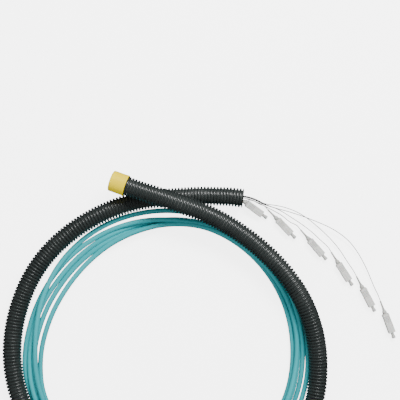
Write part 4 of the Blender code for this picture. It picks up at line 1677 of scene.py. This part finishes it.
@dataclass
class Tail:
    """One thin tail, from the breakout's face to its plug.

    Args:
        number: which tail it is.
        diameter: its diameter.
        circle: how far from the breakout's axis it starts.
        lead: how far it runs straight at each end.
        inside_boot: how far it reaches into the boot.
        sides: how many points go round.
    """

    number: int
    diameter: float = 1.0 * MM
    circle: float = 3.2 * MM
    lead: float = 7.0 * MM
    inside_boot: float = 2.0 * MM
    sides: int = 10

    def path(self, face: Array, ahead: Array, plug: Plug) -> Path:
        """The tail's centre line.

        Four of the tails share a stretch of route, each offset sideways and upwards from it.

        Args:
            face: the middle of the breakout's front face.
            ahead: the direction out of it.
            plug: the plug at the tail's end.

        Returns:
            The path.
        """
        side = unit(np.array((-ahead[1], ahead[0], 0.0)))
        angle = math.radians(TAIL_START_ANGLES[self.number - 1])
        start = face + self.circle * (side * math.cos(angle) + np.array((0.0, 0.0, math.sin(angle))))
        points = [start + ahead * plug.clearance, start + ahead * self.lead]
        if self.number in TAIL_OFFSETS:
            shared = placed(SHARED_TAIL_ROUTE)
            along = np.gradient(shared, axis=0)
            aside = unit(np.column_stack((-along[:, 1], along[:, 0], np.zeros(len(along)))))
            sideways, up = TAIL_OFFSETS[self.number]
            points.extend(shared + aside * sideways * MM + np.array((0.0, 0.0, up * MM)))
        points.extend(placed(TAIL_ROUTES[self.number]))
        for ahead_of_entry in (-self.lead, 0.0, self.inside_boot):
            points.append(
                np.array(plug.placement @ Vector((plug.tail_entry + ahead_of_entry, 0.0, 0.0))))
        return Path.through(np.array(points), ROUTE_STEP)

    def build(self, path: Path, pieces: list[bpy.types.Object],
              material: bpy.types.Material) -> None:
        """The tail, declared as a cord with its plug's pieces.

        Args:
            path: the centre line.
            pieces: the plug's pieces; not used.
            material: its finish.
        """
        stations = path.distances
        radii = np.full(len(stations), self.diameter / 2)
        piece = swept(path, stations, radii, self.sides, False).build(f"fibre_tail_{self.number}")
        dress(piece, material, "cable", "grey_fibre", f"tail_{self.number}")


@dataclass
class Tails:
    """All six tails with their plugs.

    Args:
        bushes: the breakout body that they start from.
    """

    bushes: Bushes

    def build_all(self, opened: Path) -> None:
        """Every tail and plug.

        Args:
            opened: the open conduit's centre line.
        """
        middle, ahead = self.bushes.breakout_axis(opened)
        face = middle + ahead * self.bushes.breakout[0] / 2
        boot, grip, inner, knob = (PlugPlastic(kind).material() for kind in Moulding)
        ceramic, coating = FerruleCeramic().material(), TailCoating().material()
        for number in range(1, len(PLUGS) + 1):
            plug = Plug(number)
            pieces = [
                plug.build_boot(boot), plug.build_grip(grip), plug.build_frame(inner),
                plug.build_ferrule(ceramic), plug.build_dust_cap(knob),
            ]
            tail = Tail(number)
            tail.build(tail.path(face, ahead, plug), pieces, coating)


def main() -> None:
    """Build every piece in order."""
    logging.basicConfig(level=logging.INFO, format="%(message)s")
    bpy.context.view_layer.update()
    Studio().set_up()
    conduits = Conduits()
    bushes = Bushes()
    capped, opened = conduits.capped_path(), conduits.open_path()
    trunk = Trunk()
    trunk.build(trunk.path(capped, opened, bushes))
    Tails(bushes).build_all(opened)
    conduits.build_both()
    bushes.build_all(capped, opened)
    EndCap().build(*conduits.cap_axis())


if __name__ == "__main__":
    main()
